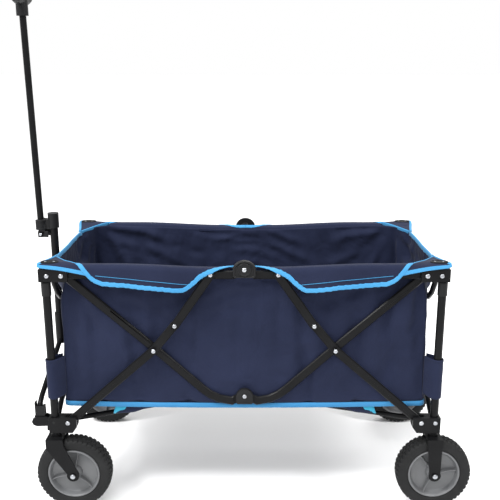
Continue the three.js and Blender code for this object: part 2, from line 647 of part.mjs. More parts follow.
// ---- put the wagon together ------------------------------------------------------------------------
for (const end of [-1, 1]) {
  lowerFrame(end);
  topFrame(end);
  basePair(end);
  for (const side of [-1, 1]) {
    leg(end, side);
    collar(end, side);
    rail(end, side);
    longLink(end, side);
    bentLink(end, side);
    shortLink(end, side);
    fork(end, side);
    axle(end, side);
    tyre(end, side);
    rim(end, side);
  }
}
for (const side of [-1, 1]) {
  topHubCap(side);
  bottomHubCap(side);
  towBracket(side);
  yokeSocket(side);
}
bin();
yoke();
mainTube();
clipCap();
upperTube();
grip();

// The origin is the middle of the footprint, on the floor.
const box = new THREE.Box3().setFromObject(wagon);
for (const mesh of wagon.children) {
  mesh.geometry.translate(-(box.min.x + box.max.x) / 2, -(box.min.y + box.max.y) / 2, -box.min.z);
}

export default wagon;
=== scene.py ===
"""Folding fabric wagon with a pull handle: the looks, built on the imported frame."""
import json
import math

import bmesh
import bpy
import numpy as np
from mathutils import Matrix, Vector

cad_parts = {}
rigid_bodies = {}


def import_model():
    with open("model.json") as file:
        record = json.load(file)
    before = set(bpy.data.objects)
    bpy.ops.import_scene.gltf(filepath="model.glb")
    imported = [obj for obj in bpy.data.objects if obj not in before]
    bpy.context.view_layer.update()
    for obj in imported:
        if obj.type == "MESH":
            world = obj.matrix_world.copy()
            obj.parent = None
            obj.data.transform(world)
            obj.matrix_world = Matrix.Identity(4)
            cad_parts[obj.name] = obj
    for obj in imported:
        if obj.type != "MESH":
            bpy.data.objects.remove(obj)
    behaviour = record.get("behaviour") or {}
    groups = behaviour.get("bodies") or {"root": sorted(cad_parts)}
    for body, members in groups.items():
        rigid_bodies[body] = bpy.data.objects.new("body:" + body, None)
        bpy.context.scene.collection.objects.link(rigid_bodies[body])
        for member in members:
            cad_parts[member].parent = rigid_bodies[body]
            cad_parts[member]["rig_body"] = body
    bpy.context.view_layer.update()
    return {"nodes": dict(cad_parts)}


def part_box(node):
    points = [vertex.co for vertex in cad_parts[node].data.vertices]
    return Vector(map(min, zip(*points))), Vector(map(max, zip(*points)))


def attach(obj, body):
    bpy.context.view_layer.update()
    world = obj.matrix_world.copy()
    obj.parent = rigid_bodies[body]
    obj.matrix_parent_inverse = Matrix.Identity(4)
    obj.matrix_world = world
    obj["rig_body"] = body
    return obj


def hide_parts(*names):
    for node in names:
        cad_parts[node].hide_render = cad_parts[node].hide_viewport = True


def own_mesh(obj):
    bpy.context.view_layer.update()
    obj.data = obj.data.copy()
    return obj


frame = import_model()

MM = 0.001

# frame measures in mm, from the wagon's middle
LEG_X, LEG_Y = 448, 216
TOP_HUB_Z, BOTTOM_HUB_Z = 595, 282
BASE_BAR_Y, TOP_BRACKET_Z, LOW_BRACKET_Z = 174, 580, 219
WHEEL_RADIUS = 89
# outer faces of the side bars and brackets, out from the middle plane, where the screws' heads sit
BAR_FACE = 229.3
SIDES = {"near": -1, "far": 1}
ENDS = {"front": -1, "rear": 1}
UP = np.array([0, 0, 1.0])

# x of the wagon's middle in the row frame, in metres: the rear legs stand LEG_X behind it
LEG_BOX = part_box("leg_rear_near")
MIDDLE_X = (LEG_BOX[0][0] + LEG_BOX[1][0]) / 2 - LEG_X * MM


def middle_of(node):
    """x of the middle of a CAD node, in mm from the wagon's middle."""
    low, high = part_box(node)
    return ((low[0] + high[0]) / 2 - MIDDLE_X) / MM


def smoothstep(t):
    t = np.clip(t, 0, 1)
    return t * t * (3 - 2 * t)


# ---- materials -----------------------------------------------------------------------------
def new_material(name):
    material = bpy.data.materials.new(name)
    material.use_nodes = True
    return material, material.node_tree, material.node_tree.nodes["Principled BSDF"]


def set_node(tree, node, values):
    """A value is a node's setting, the value of an input, or another node's output to link to the input."""
    for key, value in values.items():
        if key not in node.inputs:
            setattr(node, key, value)
        elif isinstance(value, bpy.types.NodeSocket):
            tree.links.new(value, node.inputs[key])
        else:
            node.inputs[key].default_value = value
    return node


def add_node(tree, kind, **values):
    return set_node(tree, tree.nodes.new(kind), values)


def colour_ramp(tree, factor, low, high, start=0.3, end=0.7):
    ramp = add_node(tree, "ShaderNodeValToRGB", Fac=factor)
    for stop, position, colour in zip(ramp.color_ramp.elements, (start, end), (low, high)):
        stop.position, stop.color = position, (*colour, 1)
    return ramp.outputs["Color"]


def noise(tree, place, scale, detail, roughness=0.55, distortion=0.0):
    return add_node(tree, "ShaderNodeTexNoise", Vector=place, Scale=scale, Detail=detail, Roughness=roughness,
                    Distortion=distortion).outputs["Fac"]


def bump(tree, height, strength, distance, **below):
    return add_node(tree, "ShaderNodeBump", Height=height, Strength=strength, Distance=distance,
                    **below).outputs["Normal"]


def hard_material(name, dark, light, rough, grain=900.0, grain_depth=0.00006, specular=0.5, metallic=0.0):
    """Painted, moulded or plated surface: slight colour change, fine grain, uneven gloss."""
    material, tree, shader = new_material(name)
    place = tree.nodes.new("ShaderNodeTexCoord").outputs["Object"]
    colour = colour_ramp(tree, noise(tree, place, 14.0, 4.0), dark, light)
    patches = noise(tree, place, 60.0, 5.0)
    gloss = add_node(tree, "ShaderNodeMapRange", Value=patches, **{"To Min": rough[0], "To Max": rough[1]})
    fine = bump(tree, noise(tree, place, grain, 2.0), 0.5, grain_depth)
    set_node(tree, shader, {"Base Color": colour, "Roughness": gloss.outputs["Result"], "Normal": fine,
                            "Specular IOR Level": specular, "Metallic": metallic})
    return material


def woven_material(name, dark, light, thread_mm, crease_depth, rough=0.7, sheen=0.1, specular=0.12):
    """Plain-weave cloth: crossing threads from the UVs (in mm), soft patches and fine creases."""
    material, tree, shader = new_material(name)
    coordinates = tree.nodes.new("ShaderNodeTexCoord").outputs
    place = coordinates["Object"]
    colour = colour_ramp(tree, noise(tree, place, 6.0, 5.0, 0.6), dark, light, 0.25, 0.75)
    weave = add_node(tree, "ShaderNodeMath", operation="MAXIMUM")
    for k, direction in enumerate("XY"):
        wave = add_node(tree, "ShaderNodeTexWave", wave_type="BANDS", bands_direction=direction,
                        Vector=coordinates["UV"], Scale=math.pi / (10 * thread_mm), Distortion=0.4, Detail=1.0)
        tree.links.new(wave.outputs["Fac"], weave.inputs[k])
    soft = bump(tree, noise(tree, place, 11.0, 5.0, 0.45, 1.4), 0.7, crease_depth)
    threads = bump(tree, weave.outputs["Value"], 0.35, 0.00018, Normal=soft)
    set_node(tree, shader, {"Base Color": colour, "Normal": threads, "Roughness": rough, "Sheen Weight": sheen,
                            "Sheen Roughness": 0.45, "Specular IOR Level": specular})
    return material


STEEL = hard_material("black_powder_coat", (0.0045, 0.0046, 0.0050), (0.0070, 0.0071, 0.0077), (0.25, 0.36),
                      grain=1400.0, grain_depth=0.00003, specular=0.085)
PLASTIC = hard_material("black_plastic", (0.0055, 0.0057, 0.0062), (0.0095, 0.0097, 0.0105), (0.36, 0.5),
                        specular=0.16)
RUBBER = hard_material("tyre_rubber", (0.0062, 0.0064, 0.0067), (0.011, 0.0113, 0.0117), (0.6, 0.8),
                       grain=500.0, specular=0.2)
RIM_GREY = hard_material("grey_plastic", (0.088, 0.0905, 0.0945), (0.114, 0.1165, 0.121), (0.34, 0.48),
                         grain=700.0, specular=0.4)
ZINC = hard_material("bright_zinc", (0.30, 0.31, 0.33), (0.46, 0.475, 0.50), (0.22, 0.36), metallic=1.0)
NAVY = woven_material("navy_polyester", (0.0100, 0.0130, 0.0300), (0.0150, 0.0192, 0.0430), 1.1, 0.0075,
                      0.74, 0.05, 0.06)
BLUE = woven_material("blue_binding", (0.036, 0.198, 0.40), (0.055, 0.248, 0.465), 0.9, 0.0003)
# the binding's blue made darker for the bottom band: painted shade of the bag's low edge
BLUE_PAINTED_SHADE = woven_material("blue_band", (0.027, 0.155, 0.33), (0.042, 0.195, 0.385), 0.9, 0.0003)
TEAL = woven_material("teal_binding", (0.03, 0.26, 0.40), (0.04, 0.32, 0.48), 0.9, 0.0003)
THREAD = woven_material("blue_thread", (0.03, 0.18, 0.36), (0.05, 0.24, 0.44), 0.5, 0.0001, 0.8)


# ---- mesh helpers --------------------------------------------------------------------------
def to_frame(points):
    """Millimetres from the wagon's middle to metres in the row frame."""
    return np.asarray(points, float) * MM + np.array([MIDDLE_X, 0.0, 0.0])


def link_object(mesh, name, material, smooth=True):
    obj = bpy.data.objects.new(name, mesh)
    bpy.context.scene.collection.objects.link(obj)
    mesh.materials.append(material)
    for polygon in mesh.polygons:
        polygon.use_smooth = smooth
    return obj


def grid_uv(u, v):
    """UVs of a grid of points, from its measures along and across in mm."""
    return np.stack(np.broadcast_arrays(u, v), -1).reshape(-1, 2)


def steps_along(points):
    """Distance along a line of points, at each point."""
    return np.concatenate([[0], np.cumsum(np.linalg.norm(np.diff(points, axis=0), axis=1))])


def make_mesh(name, points, faces, material, uv=None):
    """Smooth mesh from points in mm from the wagon's middle."""
    mesh = bpy.data.meshes.new(name)
    mesh.from_pydata([tuple(p) for p in to_frame(points)], [], [tuple(f) for f in faces])
    mesh.update()
    if uv is not None:
        layer = mesh.uv_layers.new(name="cut")
        for loop in mesh.loops:
            layer.data[loop.index].uv = uv[loop.vertex_index]
    return link_object(mesh, name, material)


def grid_faces(rows, columns, closed=False):
    faces = []
    for i in range(rows - 1):
        for j in range(columns if closed else columns - 1):
            k = (j + 1) % columns
            faces.append((i * columns + j, i * columns + k, (i + 1) * columns + k, (i + 1) * columns + j))
    return faces


def face_outward(obj):
    mesh = bmesh.new()
    mesh.from_mesh(obj.data)
    bmesh.ops.recalc_face_normals(mesh, faces=mesh.faces)
    mesh.to_mesh(obj.data)
    mesh.free()


def shade_by_angle(obj, degrees=35):
    """Smooth shading, but sharp over edges that turn more than the angle."""
    obj.data.set_sharp_from_angle(angle=math.radians(degrees))


def thicken(obj, thickness_mm):
    modifier = obj.modifiers.new("thickness", "SOLIDIFY")
    modifier.thickness = thickness_mm * MM
    modifier.offset = 0.0


def subdivide(obj):
    modifier = obj.modifiers.new("smooth", "SUBSURF")
    modifier.levels = modifier.render_levels = 1


def round_edges(obj, width_mm, segments=2, degrees=35):
    modifier = obj.modifiers.new("edge", "BEVEL")
    modifier.width = width_mm * MM
    modifier.segments = segments
    modifier.limit_method = "ANGLE"
    modifier.angle_limit = math.radians(degrees)
    return modifier


def ring_solid(name, rings, material, uv=None, closed=False, sharp=None):
    """Solid through rings of points in mm: its ends are capped, or joined where the path is closed."""
    rings = np.asarray(rings, float)
    rows, columns = rings.shape[:2]
    faces = grid_faces(rows, columns, closed=True)
    last = (rows - 1) * columns
    if closed:
        faces += [(last + j, last + (j + 1) % columns, (j + 1) % columns, j) for j in range(columns)]
    else:
        faces += [tuple(range(columns)), tuple(range(last, last + columns))]
    obj = make_mesh(name, rings.reshape(-1, 3), faces, material, uv)
    face_outward(obj)
    if sharp:
        shade_by_angle(obj, sharp)
    return obj


def cloth(name, rings, uv, thickness):
    """Sheet of navy cloth through rings of points in mm."""
    rings = np.asarray(rings, float)
    sheet = make_mesh(name, rings.reshape(-1, 3), grid_faces(*rings.shape[:2]), NAVY, uv)
    face_outward(sheet)
    subdivide(sheet)
    thicken(sheet, thickness)
    return sheet


def fasten(pieces, body):
    """Lets the pieces ride on a body."""
    for piece in pieces:
        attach(piece, body)


def unit(vectors):
    vectors = np.asarray(vectors, float)
    return vectors / np.maximum(np.linalg.norm(vectors, axis=-1, keepdims=True), 1e-9)


def tube(name, points, radius, material, sides, closed=False):
    """Round tube or thread along a path."""
    points = np.asarray(points, float)
    along = np.gradient(points, axis=0)
    if closed:
        along = np.roll(points, -1, 0) - np.roll(points, 1, 0)
    along = unit(along)
    side = np.cross(along, UP)
    weak = np.linalg.norm(side, axis=1) < 0.1
    side[weak] = np.cross(along[weak], np.array([0.0, 1.0, 0.0]))
    side = unit(side)
    over = unit(np.cross(side, along))
    angles = np.linspace(0, 2 * math.pi, sides, endpoint=False)
    rings = [points + radius * (math.cos(a) * side + math.sin(a) * over) for a in angles]
    return ring_solid(name, np.stack(rings, 1), material, closed=closed)


# outline across a folded tape: share of its width in from the edge, share of its thickness out
TAPE_FACE = [(1.0, 0.35), (0.97, 1.0), (0.75, 1.12)]
BINDING_EDGE = [(0.4, 1.12), (0.12, 1.1), (-0.04, 0.75), (-0.1, 0.0)]
EDGE_TAPE_EDGE = [(0.5, 1.12), (0.25, 1.12), (0.08, 1.1), (-0.05, 0.75), (-0.1, 0.0)]


def both_faces(half):
    """The outline from its outer face round the edge, mirrored to the inner face."""
    return half + [(a, -b) for a, b in reversed(half[:-1])]


def binding(name, edge, inward, normal, width, material, thickness):
    """Folded tape sewn over a cloth edge: edge points, direction into the cloth and cloth normal, in mm."""
    edge, inward, normal = np.asarray(edge, float), unit(inward), unit(normal)
    profile = both_faces(TAPE_FACE + BINDING_EDGE)
    rings = np.stack([edge + inward * (a * width) + normal * (b * thickness) for a, b in profile], 1)
    uv = grid_uv(steps_along(edge)[:, None], np.array(profile)[:, 0] * width)
    return ring_solid(name, rings, material, uv)


def edge_tape(name, rings, width, material, thickness, outward):
    """Folded tape over the last point of each ring, lying along the ring's own surface.

    outward is a function of the tape's places that gives directions on the outer side of the cloth.
    """
    rings = np.asarray(rings, float)
    edge = rings[:, -1]
    tangent = unit(np.gradient(edge, axis=0))
    lean = unit(rings[:, -4] - edge)
    slant = np.linalg.norm(np.cross(tangent, lean), axis=1)
    reach = width / np.clip(slant, 0.5, 1.0)
    back = rings[:, ::-1]
    steps = [steps_along(line) for line in back]

    def on_cloth(i, distance):
        if distance < 0:
            return edge[i] + unit(edge[i] - back[i, 1]) * -distance
        return np.array([np.interp(distance, steps[i], back[i, :, k]) for k in range(3)])

    profile = both_faces(TAPE_FACE + EDGE_TAPE_EDGE)
    places = np.array([[on_cloth(i, a * reach[i]) for a, _ in profile] for i in range(len(rings))])
    along = np.gradient(places, axis=0)
    across = np.array([[on_cloth(i, a * reach[i] + 1.5) - on_cloth(i, a * reach[i] - 1.5) for a, _ in profile]
                       for i in range(len(rings))])
    normal = unit(np.cross(along, across))
    normal *= np.sign(np.sum(normal * outward(places), axis=2, keepdims=True))
    for _ in range(2):
        normal[1:-1] = unit(normal[:-2] + 2 * normal[1:-1] + normal[2:])
    tape = places + normal * (np.array(profile)[:, 1] * thickness)[None, :, None]
    uv = grid_uv(steps_along(edge)[:, None], np.array(profile)[:, 0] * width)
    return ring_solid(name, tape, material, uv)


def resample(points, spacing):
    """Points at an even spacing along a smooth line through the given points."""
    points = np.asarray(points, float)
    steps = steps_along(points)
    count = max(3, int(round(steps[-1] / spacing)) + 1)
    even = np.linspace(0, steps[-1], count)
    return np.stack([np.interp(even, steps, points[:, k]) for k in range(points.shape[1])], 1)


def soften(points, rounds=3):
    """Rounds the corners of an open line without moving its ends."""
    points = np.array(points, float)
    for _ in range(rounds):
        points[1:-1] = 0.25 * points[:-2] + 0.5 * points[1:-1] + 0.25 * points[2:]
    return points


def curve_through(points, spacing=4.0, rounds=6):
    return soften(resample(points, spacing), rounds)


# ---- frame finishes ------------------------------------------------------------------------
FINISHES = {"steel": STEEL, "plastic": PLASTIC, "rubber": RUBBER, "rim": RIM_GREY, "zinc": ZINC, "fabric": NAVY}


def finish_of(name):
    for slot, material in FINISHES.items():
        if name.lower().startswith(slot):
            return material
    return PLASTIC


def dress_frame():
    """The CAD pieces keep their shapes and get finishes, welded corners and softened edges."""
    for node in frame["nodes"].values():
        mesh = node.data
        for index, old in enumerate(list(mesh.materials)):
            mesh.materials[index] = finish_of(old.name if old else "")
        if "custom_normal" in mesh.attributes:
            mesh.attributes.remove(mesh.attributes["custom_normal"])
        for polygon in mesh.polygons:
            polygon.use_smooth = True
        node.modifiers.new("weld", "WELD").merge_threshold = 0.00002
        if node.name.startswith(("rail_", "link_")):
            edge = round_edges(node, 1.9, 3, 38)
        else:
            edge = round_edges(node, 0.9, 2, 38)
        edge.harden_normals = True


# ---- turned pieces -------------------------------------------------------------------------
def lathe(name, profile, material, centre, sides, degrees=35, flip=1):
    """profile: (radius, offset along Y, times flip) pairs, turned about a line along Y through centre."""
    cx, cy, cz = centre
    angles = np.linspace(0, 2 * math.pi, sides, endpoint=False)
    points = [(cx + r * math.cos(a), cy + flip * y, cz + r * math.sin(a)) for r, y in profile for a in angles]
    faces = grid_faces(len(profile), sides, closed=True)
    for ring in (0, len(profile) - 1):
        if profile[ring][0] > 0:
            faces.append(tuple(ring * sides + j for j in range(sides)))
    obj = make_mesh(name, points, faces, material)
    mesh = bmesh.new()
    mesh.from_mesh(obj.data)
    bmesh.ops.remove_doubles(mesh, verts=mesh.verts, dist=1e-6)
    mesh.to_mesh(obj.data)
    mesh.free()
    face_outward(obj)
    shade_by_angle(obj, degrees)
    return obj


def dome_screw(name, x, z, out, side, body, radius, height):
    """Dome head with a round recess on the outer face of a side bar."""
    curve = [(radius * math.cos(a), height * math.sin(a)) for a in np.linspace(0, math.pi / 2, 7)]
    profile = [(radius, -0.4)] + curve[:-1] + [(1.9, height - 0.1), (1.5, height - 1.2), (0.0, height - 1.2)]
    head = lathe(name, profile, ZINC, (x, SIDES[side] * out, z), 20, flip=SIDES[side])
    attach(head, body)


# ---- wheels --------------------------------------------------------------------------------
# outline of half a tyre: radius, distance from its middle plane, row of tread blocks (0 for none)
TYRE_HALF = [(61.0, 15.5, 0), (63.0, 18.2, 0), (67.0, 20.0, 0), (73.0, 21.2, 0), (78.5, 21.5, 0), (81.5, 21.2, 0),
             (84.4, 20.2, 3), (87.2, 17.6, 3), (88.2, 11.0, 3), (88.3, 10.4, 0), (88.3, 8.4, 0), (88.5, 7.8, 2),
             (89.0, 3.0, 2), (89.0, 1.6, 2), (88.6, 1.0, 0)]
TREAD_BLOCKS, BLOCK_STEPS, GROOVE_STEP = 46, 6, 4


def build_tyre(name, centre):
    """Tyre with staggered tread blocks."""
    count = TREAD_BLOCKS * BLOCK_STEPS
    rings = []
    for radius, y, row in TYRE_HALF + [(r, -y, row) for r, y, row in reversed(TYRE_HALF)]:
        ring = []
        for j in range(count):
            place = (j + (3 if row == 2 else 0) + (3 if y < 0 else 0)) % BLOCK_STEPS
            groove = 0.0
            if row and place >= GROOVE_STEP:
                groove = 2.2 if row == 3 else 2.0
            if not row and radius > 87:
                groove = 2.0
            a = 2 * math.pi * j / count
            ring.append((centre[0] + (radius - groove) * math.cos(a), centre[1] + y,
                         centre[2] + (radius - groove) * math.sin(a)))
        rings.append(ring)
    return ring_solid(name, rings, RUBBER, closed=True, sharp=32)


# outline of half a wheel disc from the bead to the hub: radius, distance from its middle plane
RIM_HALF = [(61.4, 14.5), (61.8, 17.4), (60.6, 19.2), (58.4, 19.4), (56.8, 18.0), (55.2, 12.0), (53.0, 6.0),
            (49.0, 3.6), (36.0, 2.8), (25.0, 3.2), (18.8, 5.0), (16.8, 10.0), (16.0, 18.6), (15.0, 20.2),
            (11.5, 20.6), (9.0, 19.8), (8.6, 18.5), (5.0, 18.5)]
# a rib's stations: radius, height above the middle plane, half width at its foot
RIB_STATIONS = [(14.5, 17.5, 2.0), (24, 14.5, 1.7), (34, 12.2, 1.5), (45, 11.6, 1.5), (55.2, 15.4, 1.7)]
RIB_FOOT = 1.5


def build_rim(name, centre, turn):
    """Dished plastic wheel with three thin ribs on each face."""
    profile = [(5.0, -18.5)] + [(r, -y) for r, y in reversed(RIM_HALF[:-1])] + RIM_HALF
    rim = lathe(name, profile, RIM_GREY, centre, 72, 40)
    round_edges(rim, 0.5)
    pieces = [rim]
    for k in range(3):
        a = turn + 2 * math.pi * k / 3
        along = np.array([math.cos(a), 0, math.sin(a)])
        across = np.array([-math.sin(a), 0, math.cos(a)])
        for face, word in ((-1, "in"), (1, "out")):
            rings = [[np.array(centre) + along * r + across * w + np.array([0, face * y, 0])
                      for w, y in ((-half, RIB_FOOT), (-half * 0.6, top), (half * 0.6, top), (half, RIB_FOOT))]
                     for r, top, half in RIB_STATIONS]
            rib = ring_solid(f"{name}_rib_{k}_{word}", rings, RIM_GREY, sharp=30)
            round_edges(rib, 0.4)
            pieces.append(rib)
    return pieces


def axle_bolt(end, side, centre):
    """Axle with a dome head outside and a nut inside the fork."""
    half = 31.0
    head = [(6.0, half), (5.8, half + 1.4), (4.6, half + 2.6), (2.4, half + 3.2), (0, half + 3.3)]
    nut = [(0, -half - 4.5), (3.8, -half - 4.5), (3.8, -half - 3.6), (6.4, -half - 3.4), (6.4, -half + 2.2)]
    profile = nut + [(4.0, -half + 2.3), (4.0, half - 1.0), (6.0, half - 0.9)] + head
    bolt = lathe(f"axle_bolt_{end}_{side}", profile, ZINC, centre, 24, flip=SIDES[side])
    node = f"axle_{end}_{side}"
    fasten([bolt], frame["nodes"][node]["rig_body"])
    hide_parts(node)


# angle of each wheel's first rib
WHEEL_TURN = {("front", "near"): 1.35, ("front", "far"): 0.4, ("rear", "near"): 0.12, ("rear", "far"): 1.8}


def build_wheels():
    for (end, side), turn in WHEEL_TURN.items():
        wheel = f"{end}_{side}"
        centre = (middle_of(f"tyre_{wheel}"), SIDES[side] * LEG_Y, WHEEL_RADIUS)
        tyre = build_tyre(f"tread_{wheel}", centre)
        fasten([tyre], f"wheel_{wheel}")
        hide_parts(f"tyre_{wheel}")
        pieces = build_rim(f"wheel_disc_{wheel}", centre, turn)
        fasten(pieces, f"wheel_{wheel}")
        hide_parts(f"rim_{wheel}")
        axle_bolt(end, side, centre)


# ---- the bag -------------------------------------------------------------------------------
BAG_HALF_X, BAG_HALF_Y, BAG_CORNER = 427.0, 199.0, 13.0
SIDE_COLUMNS, CORNER_COLUMNS, END_COLUMNS, WALL_ROWS = 42, 5, 20, 42
BAG_FLOOR_Z, WALL_LOW_Z, FLARE_Z = 248.5, 260, 508.0
BOTTOM_SAG = 5.5
# how far the floor's rows of points lie in from the bottom outline
FLOOR_INSETS = (140, 105, 70, 40, 20, 9, 3.5, 0.8)
FLOOR_ROWS = len(FLOOR_INSETS)
# plan of the opening, a quarter from the middle of a side to the middle of an end: x, y, z
OPENING = [(0, 200.9, 589), (90, 200.9, 589.5), (240, 201.4, 596), (372, 202.0, 600.5), (396, 192, 601),
           (415, 179, 600.5), (446, 130, 597.5), (448, 60, 596), (448, 0, 595.5)]
OPENING_SIDE_X, OPENING_CORNER_Y = 372, 150


def quarter_columns():
    """Plan positions of one quarter of the bag: bottom outline and opening, side middle to end middle."""
    side_x = np.linspace(0, BAG_HALF_X - BAG_CORNER, SIDE_COLUMNS)
    arc = np.linspace(0, math.pi / 2, CORNER_COLUMNS + 2)[1:-1]
    end_y = np.linspace(BAG_HALF_Y - BAG_CORNER, 0, END_COLUMNS)
    bottom = [(x, BAG_HALF_Y) for x in side_x]
    bottom += [(BAG_HALF_X - BAG_CORNER * (1 - math.sin(a)), BAG_HALF_Y - BAG_CORNER * (1 - math.cos(a)))
               for a in arc]
    bottom += [(BAG_HALF_X, y) for y in end_y]
    line = curve_through(OPENING, 3.0, 12)
    steps = steps_along(line[:, :2])
    side_end = steps[np.argmin(np.abs(line[:, 0] - OPENING_SIDE_X) + (line[:, 1] < 195) * 999)]
    corner_end = steps[np.argmin(np.abs(line[:, 1] - OPENING_CORNER_Y))]
    in_corner = np.arange(1, CORNER_COLUMNS + 1) / (CORNER_COLUMNS + 1)
    share = np.concatenate([side_x / side_x[-1] * side_end,
                            side_end + (corner_end - side_end) * in_corner,
                            corner_end + (steps[-1] - corner_end) * np.linspace(0, 1, END_COLUMNS)])
    top = np.stack([np.interp(share, steps, line[:, k]) for k in range(3)], 1)
    return np.array(bottom), top


def whole_loop(quarter):
    """The four quarters of a loop, mirrored, in order round the bag, near side middle first."""
    parts = []
    for index, mirror in enumerate([(1, -1), (1, 1), (-1, 1), (-1, -1)]):
        part = quarter.copy()
        part[:, :2] *= mirror
        parts.append((part[::-1] if index % 2 else part)[:-1])
    return np.concatenate(parts)


def bag_grid():
    """Rows of points from inside the floor's edge, over the bottom edge and up the walls to the opening."""
    bottom, top = (whole_loop(quarter) for quarter in quarter_columns())
    rows = []
    for inset in FLOOR_INSETS:
        scale = np.array([(BAG_HALF_X - inset) / BAG_HALF_X, (BAG_HALF_Y - inset) / BAG_HALF_Y])
        lift = 9 * (1 - min(1, inset / 9)) ** 2
        rows.append(np.column_stack([bottom * scale, np.full(len(bottom), BAG_FLOOR_Z + lift)]))
    for z_share in np.linspace(0, 1, WALL_ROWS):
        z = WALL_LOW_Z + z_share * (top[:, 2] - WALL_LOW_Z)
        flare = smoothstep((z - FLARE_Z) / (top[:, 2] - FLARE_Z))[:, None]
        rows.append(np.column_stack([bottom * (1 - flare) + top[:, :2] * flare, z]))
    rows = np.array(rows)
    droop = BOTTOM_SAG * np.clip(1 - (rows[..., 0] / BAG_HALF_X) ** 2, 0, 1)
    rows[..., 2] -= droop * np.clip((420 - rows[..., 2]) / 160, 0, 1)
    return rows


def drape(obj, pin, frames, growth, cap_mm):
    """Cloth simulation of a mesh whose rest size grows; pin is a weight for each vertex."""
    start = np.array([v.co for v in obj.data.vertices])
    group = obj.vertex_groups.new(name="pin")
    for index, weight in enumerate(pin):
        if weight > 0.01:
            group.add([index], float(weight), "REPLACE")
    simulation = obj.modifiers.new("cloth", "CLOTH")
    settings = {"quality": 6, "mass": 0.25, "tension_stiffness": 25, "compression_stiffness": 12,
                "shear_stiffness": 8, "bending_stiffness": 0.8, "air_damping": 2.0, "shrink_min": -growth,
                "vertex_group_mass": "pin"}
    for key, value in settings.items():
        setattr(simulation.settings, key, value)
    simulation.collision_settings.use_collision = False
    simulation.point_cache.frame_start = 1
    simulation.point_cache.frame_end = frames
    scene = bpy.context.scene
    for frame_number in range(1, frames + 1):
        scene.frame_set(frame_number)
    depsgraph = bpy.context.evaluated_depsgraph_get()
    moved = np.array([v.co for v in obj.evaluated_get(depsgraph).data.vertices])
    obj.modifiers.remove(simulation)
    obj.vertex_groups.clear()
    scene.frame_set(1)
    step = moved - start
    length = np.linalg.norm(step, axis=1, keepdims=True)
    step *= np.minimum(1, cap_mm * MM / np.maximum(length, 1e-9))
    return start + step


# creases of a side panel: start x, z, end x, z, half width, depth (inward +), in mm
SIDE_CREASES = [
    (-372, 598, -215, 560, 11, 5.0), (-374, 592, -250, 500, 13, -4.0), (-376, 585, -318, 420, 12, 5.5),
    (-392, 575, -372, 330, 11, -4.5), (-350, 560, -120, 470, 16, 3.2), (-400, 470, -330, 300, 13, 3.6),
    (372, 596, 240, 548, 12, 4.6), (374, 590, 290, 470, 12, -4.2), (384, 580, 340, 400, 12, 5.0),
    (396, 520, 372, 300, 11, -3.6), (340, 540, 150, 450, 16, 3.0), (-150, 592, 30, 560, 9, -3.2),
    (-90, 566, 60, 574, 8, 3.2), (-40, 548, 110, 522, 10, -3.0), (10, 590, 170, 556, 9, 3.0),
    (60, 540, 210, 500, 12, 2.6), (-210, 540, -60, 520, 11, -2.4), (-30, 500, 90, 470, 12, 2.2),
    (-260, 450, -90, 400, 16, -2.4), (120, 430, 300, 400, 17, 2.4), (-330, 330, -180, 300, 14, 2.2),
    (30, 350, 190, 320, 15, -2.2), (-120, 330, 10, 345, 14, 2.0), (240, 320, 360, 290, 12, 2.4),
    (-60, 300, 40, 420, 15, -1.6)]
# the same for an end panel, with y for x
END_CREASES = [
    (-160, 590, -70, 540, 11, 4.0), (-176, 560, -120, 400, 12, 4.6), (160, 590, 80, 530, 11, 4.0),
    (176, 560, 130, 380, 12, -4.2), (-60, 560, 50, 530, 13, -3.0), (-90, 470, 40, 440, 15, 2.8),
    (20, 400, 120, 360, 14, -2.6), (-130, 350, -20, 310, 13, 2.4)]
CREASE_GAIN = 1.9


def crease_depth(along, z, creases, shift):
    """Depth inward of a set of tapering folds at places on a panel."""
    depth = np.zeros_like(along)
    for x0, z0, x1, z1, width, amount in creases:
        x0, x1 = x0 + shift, x1 + shift * 0.5
        length = math.hypot(x1 - x0, z1 - z0)
        ux, uz = (x1 - x0) / length, (z1 - z0) / length
        t = ((along - x0) * ux + (z - z0) * uz) / length
        off = (along - x0) * uz - (z - z0) * ux + 7 * np.sin(t * 5 + x0 / 50)
        spread = width * (0.5 + 0.75 * np.clip(t, 0, 1))
        taper = smoothstep((t + 0.06) / 0.22) * smoothstep((1.12 - t) / 0.45)
        ridge = np.exp(-(off / spread) ** 2) - 0.45 * np.exp(-((off - 1.6 * spread) / (1.3 * spread)) ** 2)
        depth += CREASE_GAIN * amount * taper * ridge
    return depth


# panels of the bag: axis across, axis along, side of the wagon, direction along, where the folds start
# across and end along, creases, shift
PANELS = [(1, 0, -1, -1, 182, 412, SIDE_CREASES, 9.0), (1, 0, 1, 1, 182, 412, SIDE_CREASES, 0.0),
          (0, 1, -1, 1, 405, 196, END_CREASES, 0.0), (0, 1, 1, -1, 405, 196, END_CREASES, 0.0)]


def crease(grid):
    """Adds the folds that pulling at the corners and packing leave in the panels."""
    smooth = grid.copy()
    z = smooth[..., 2]
    hold = smoothstep((z - 258) / 30) * smoothstep((z[-1] + 1 - z) / 14)
    for axis, along, side, flip, first, last, creases, shift in PANELS:
        place = smooth[..., along]
        on_panel = smoothstep((side * smooth[..., axis] - first) / 12) * smoothstep((last - np.abs(place)) / 24)
        grid[..., axis] -= side * crease_depth(flip * place, z, creases, shift) * hold * on_panel
    return grid


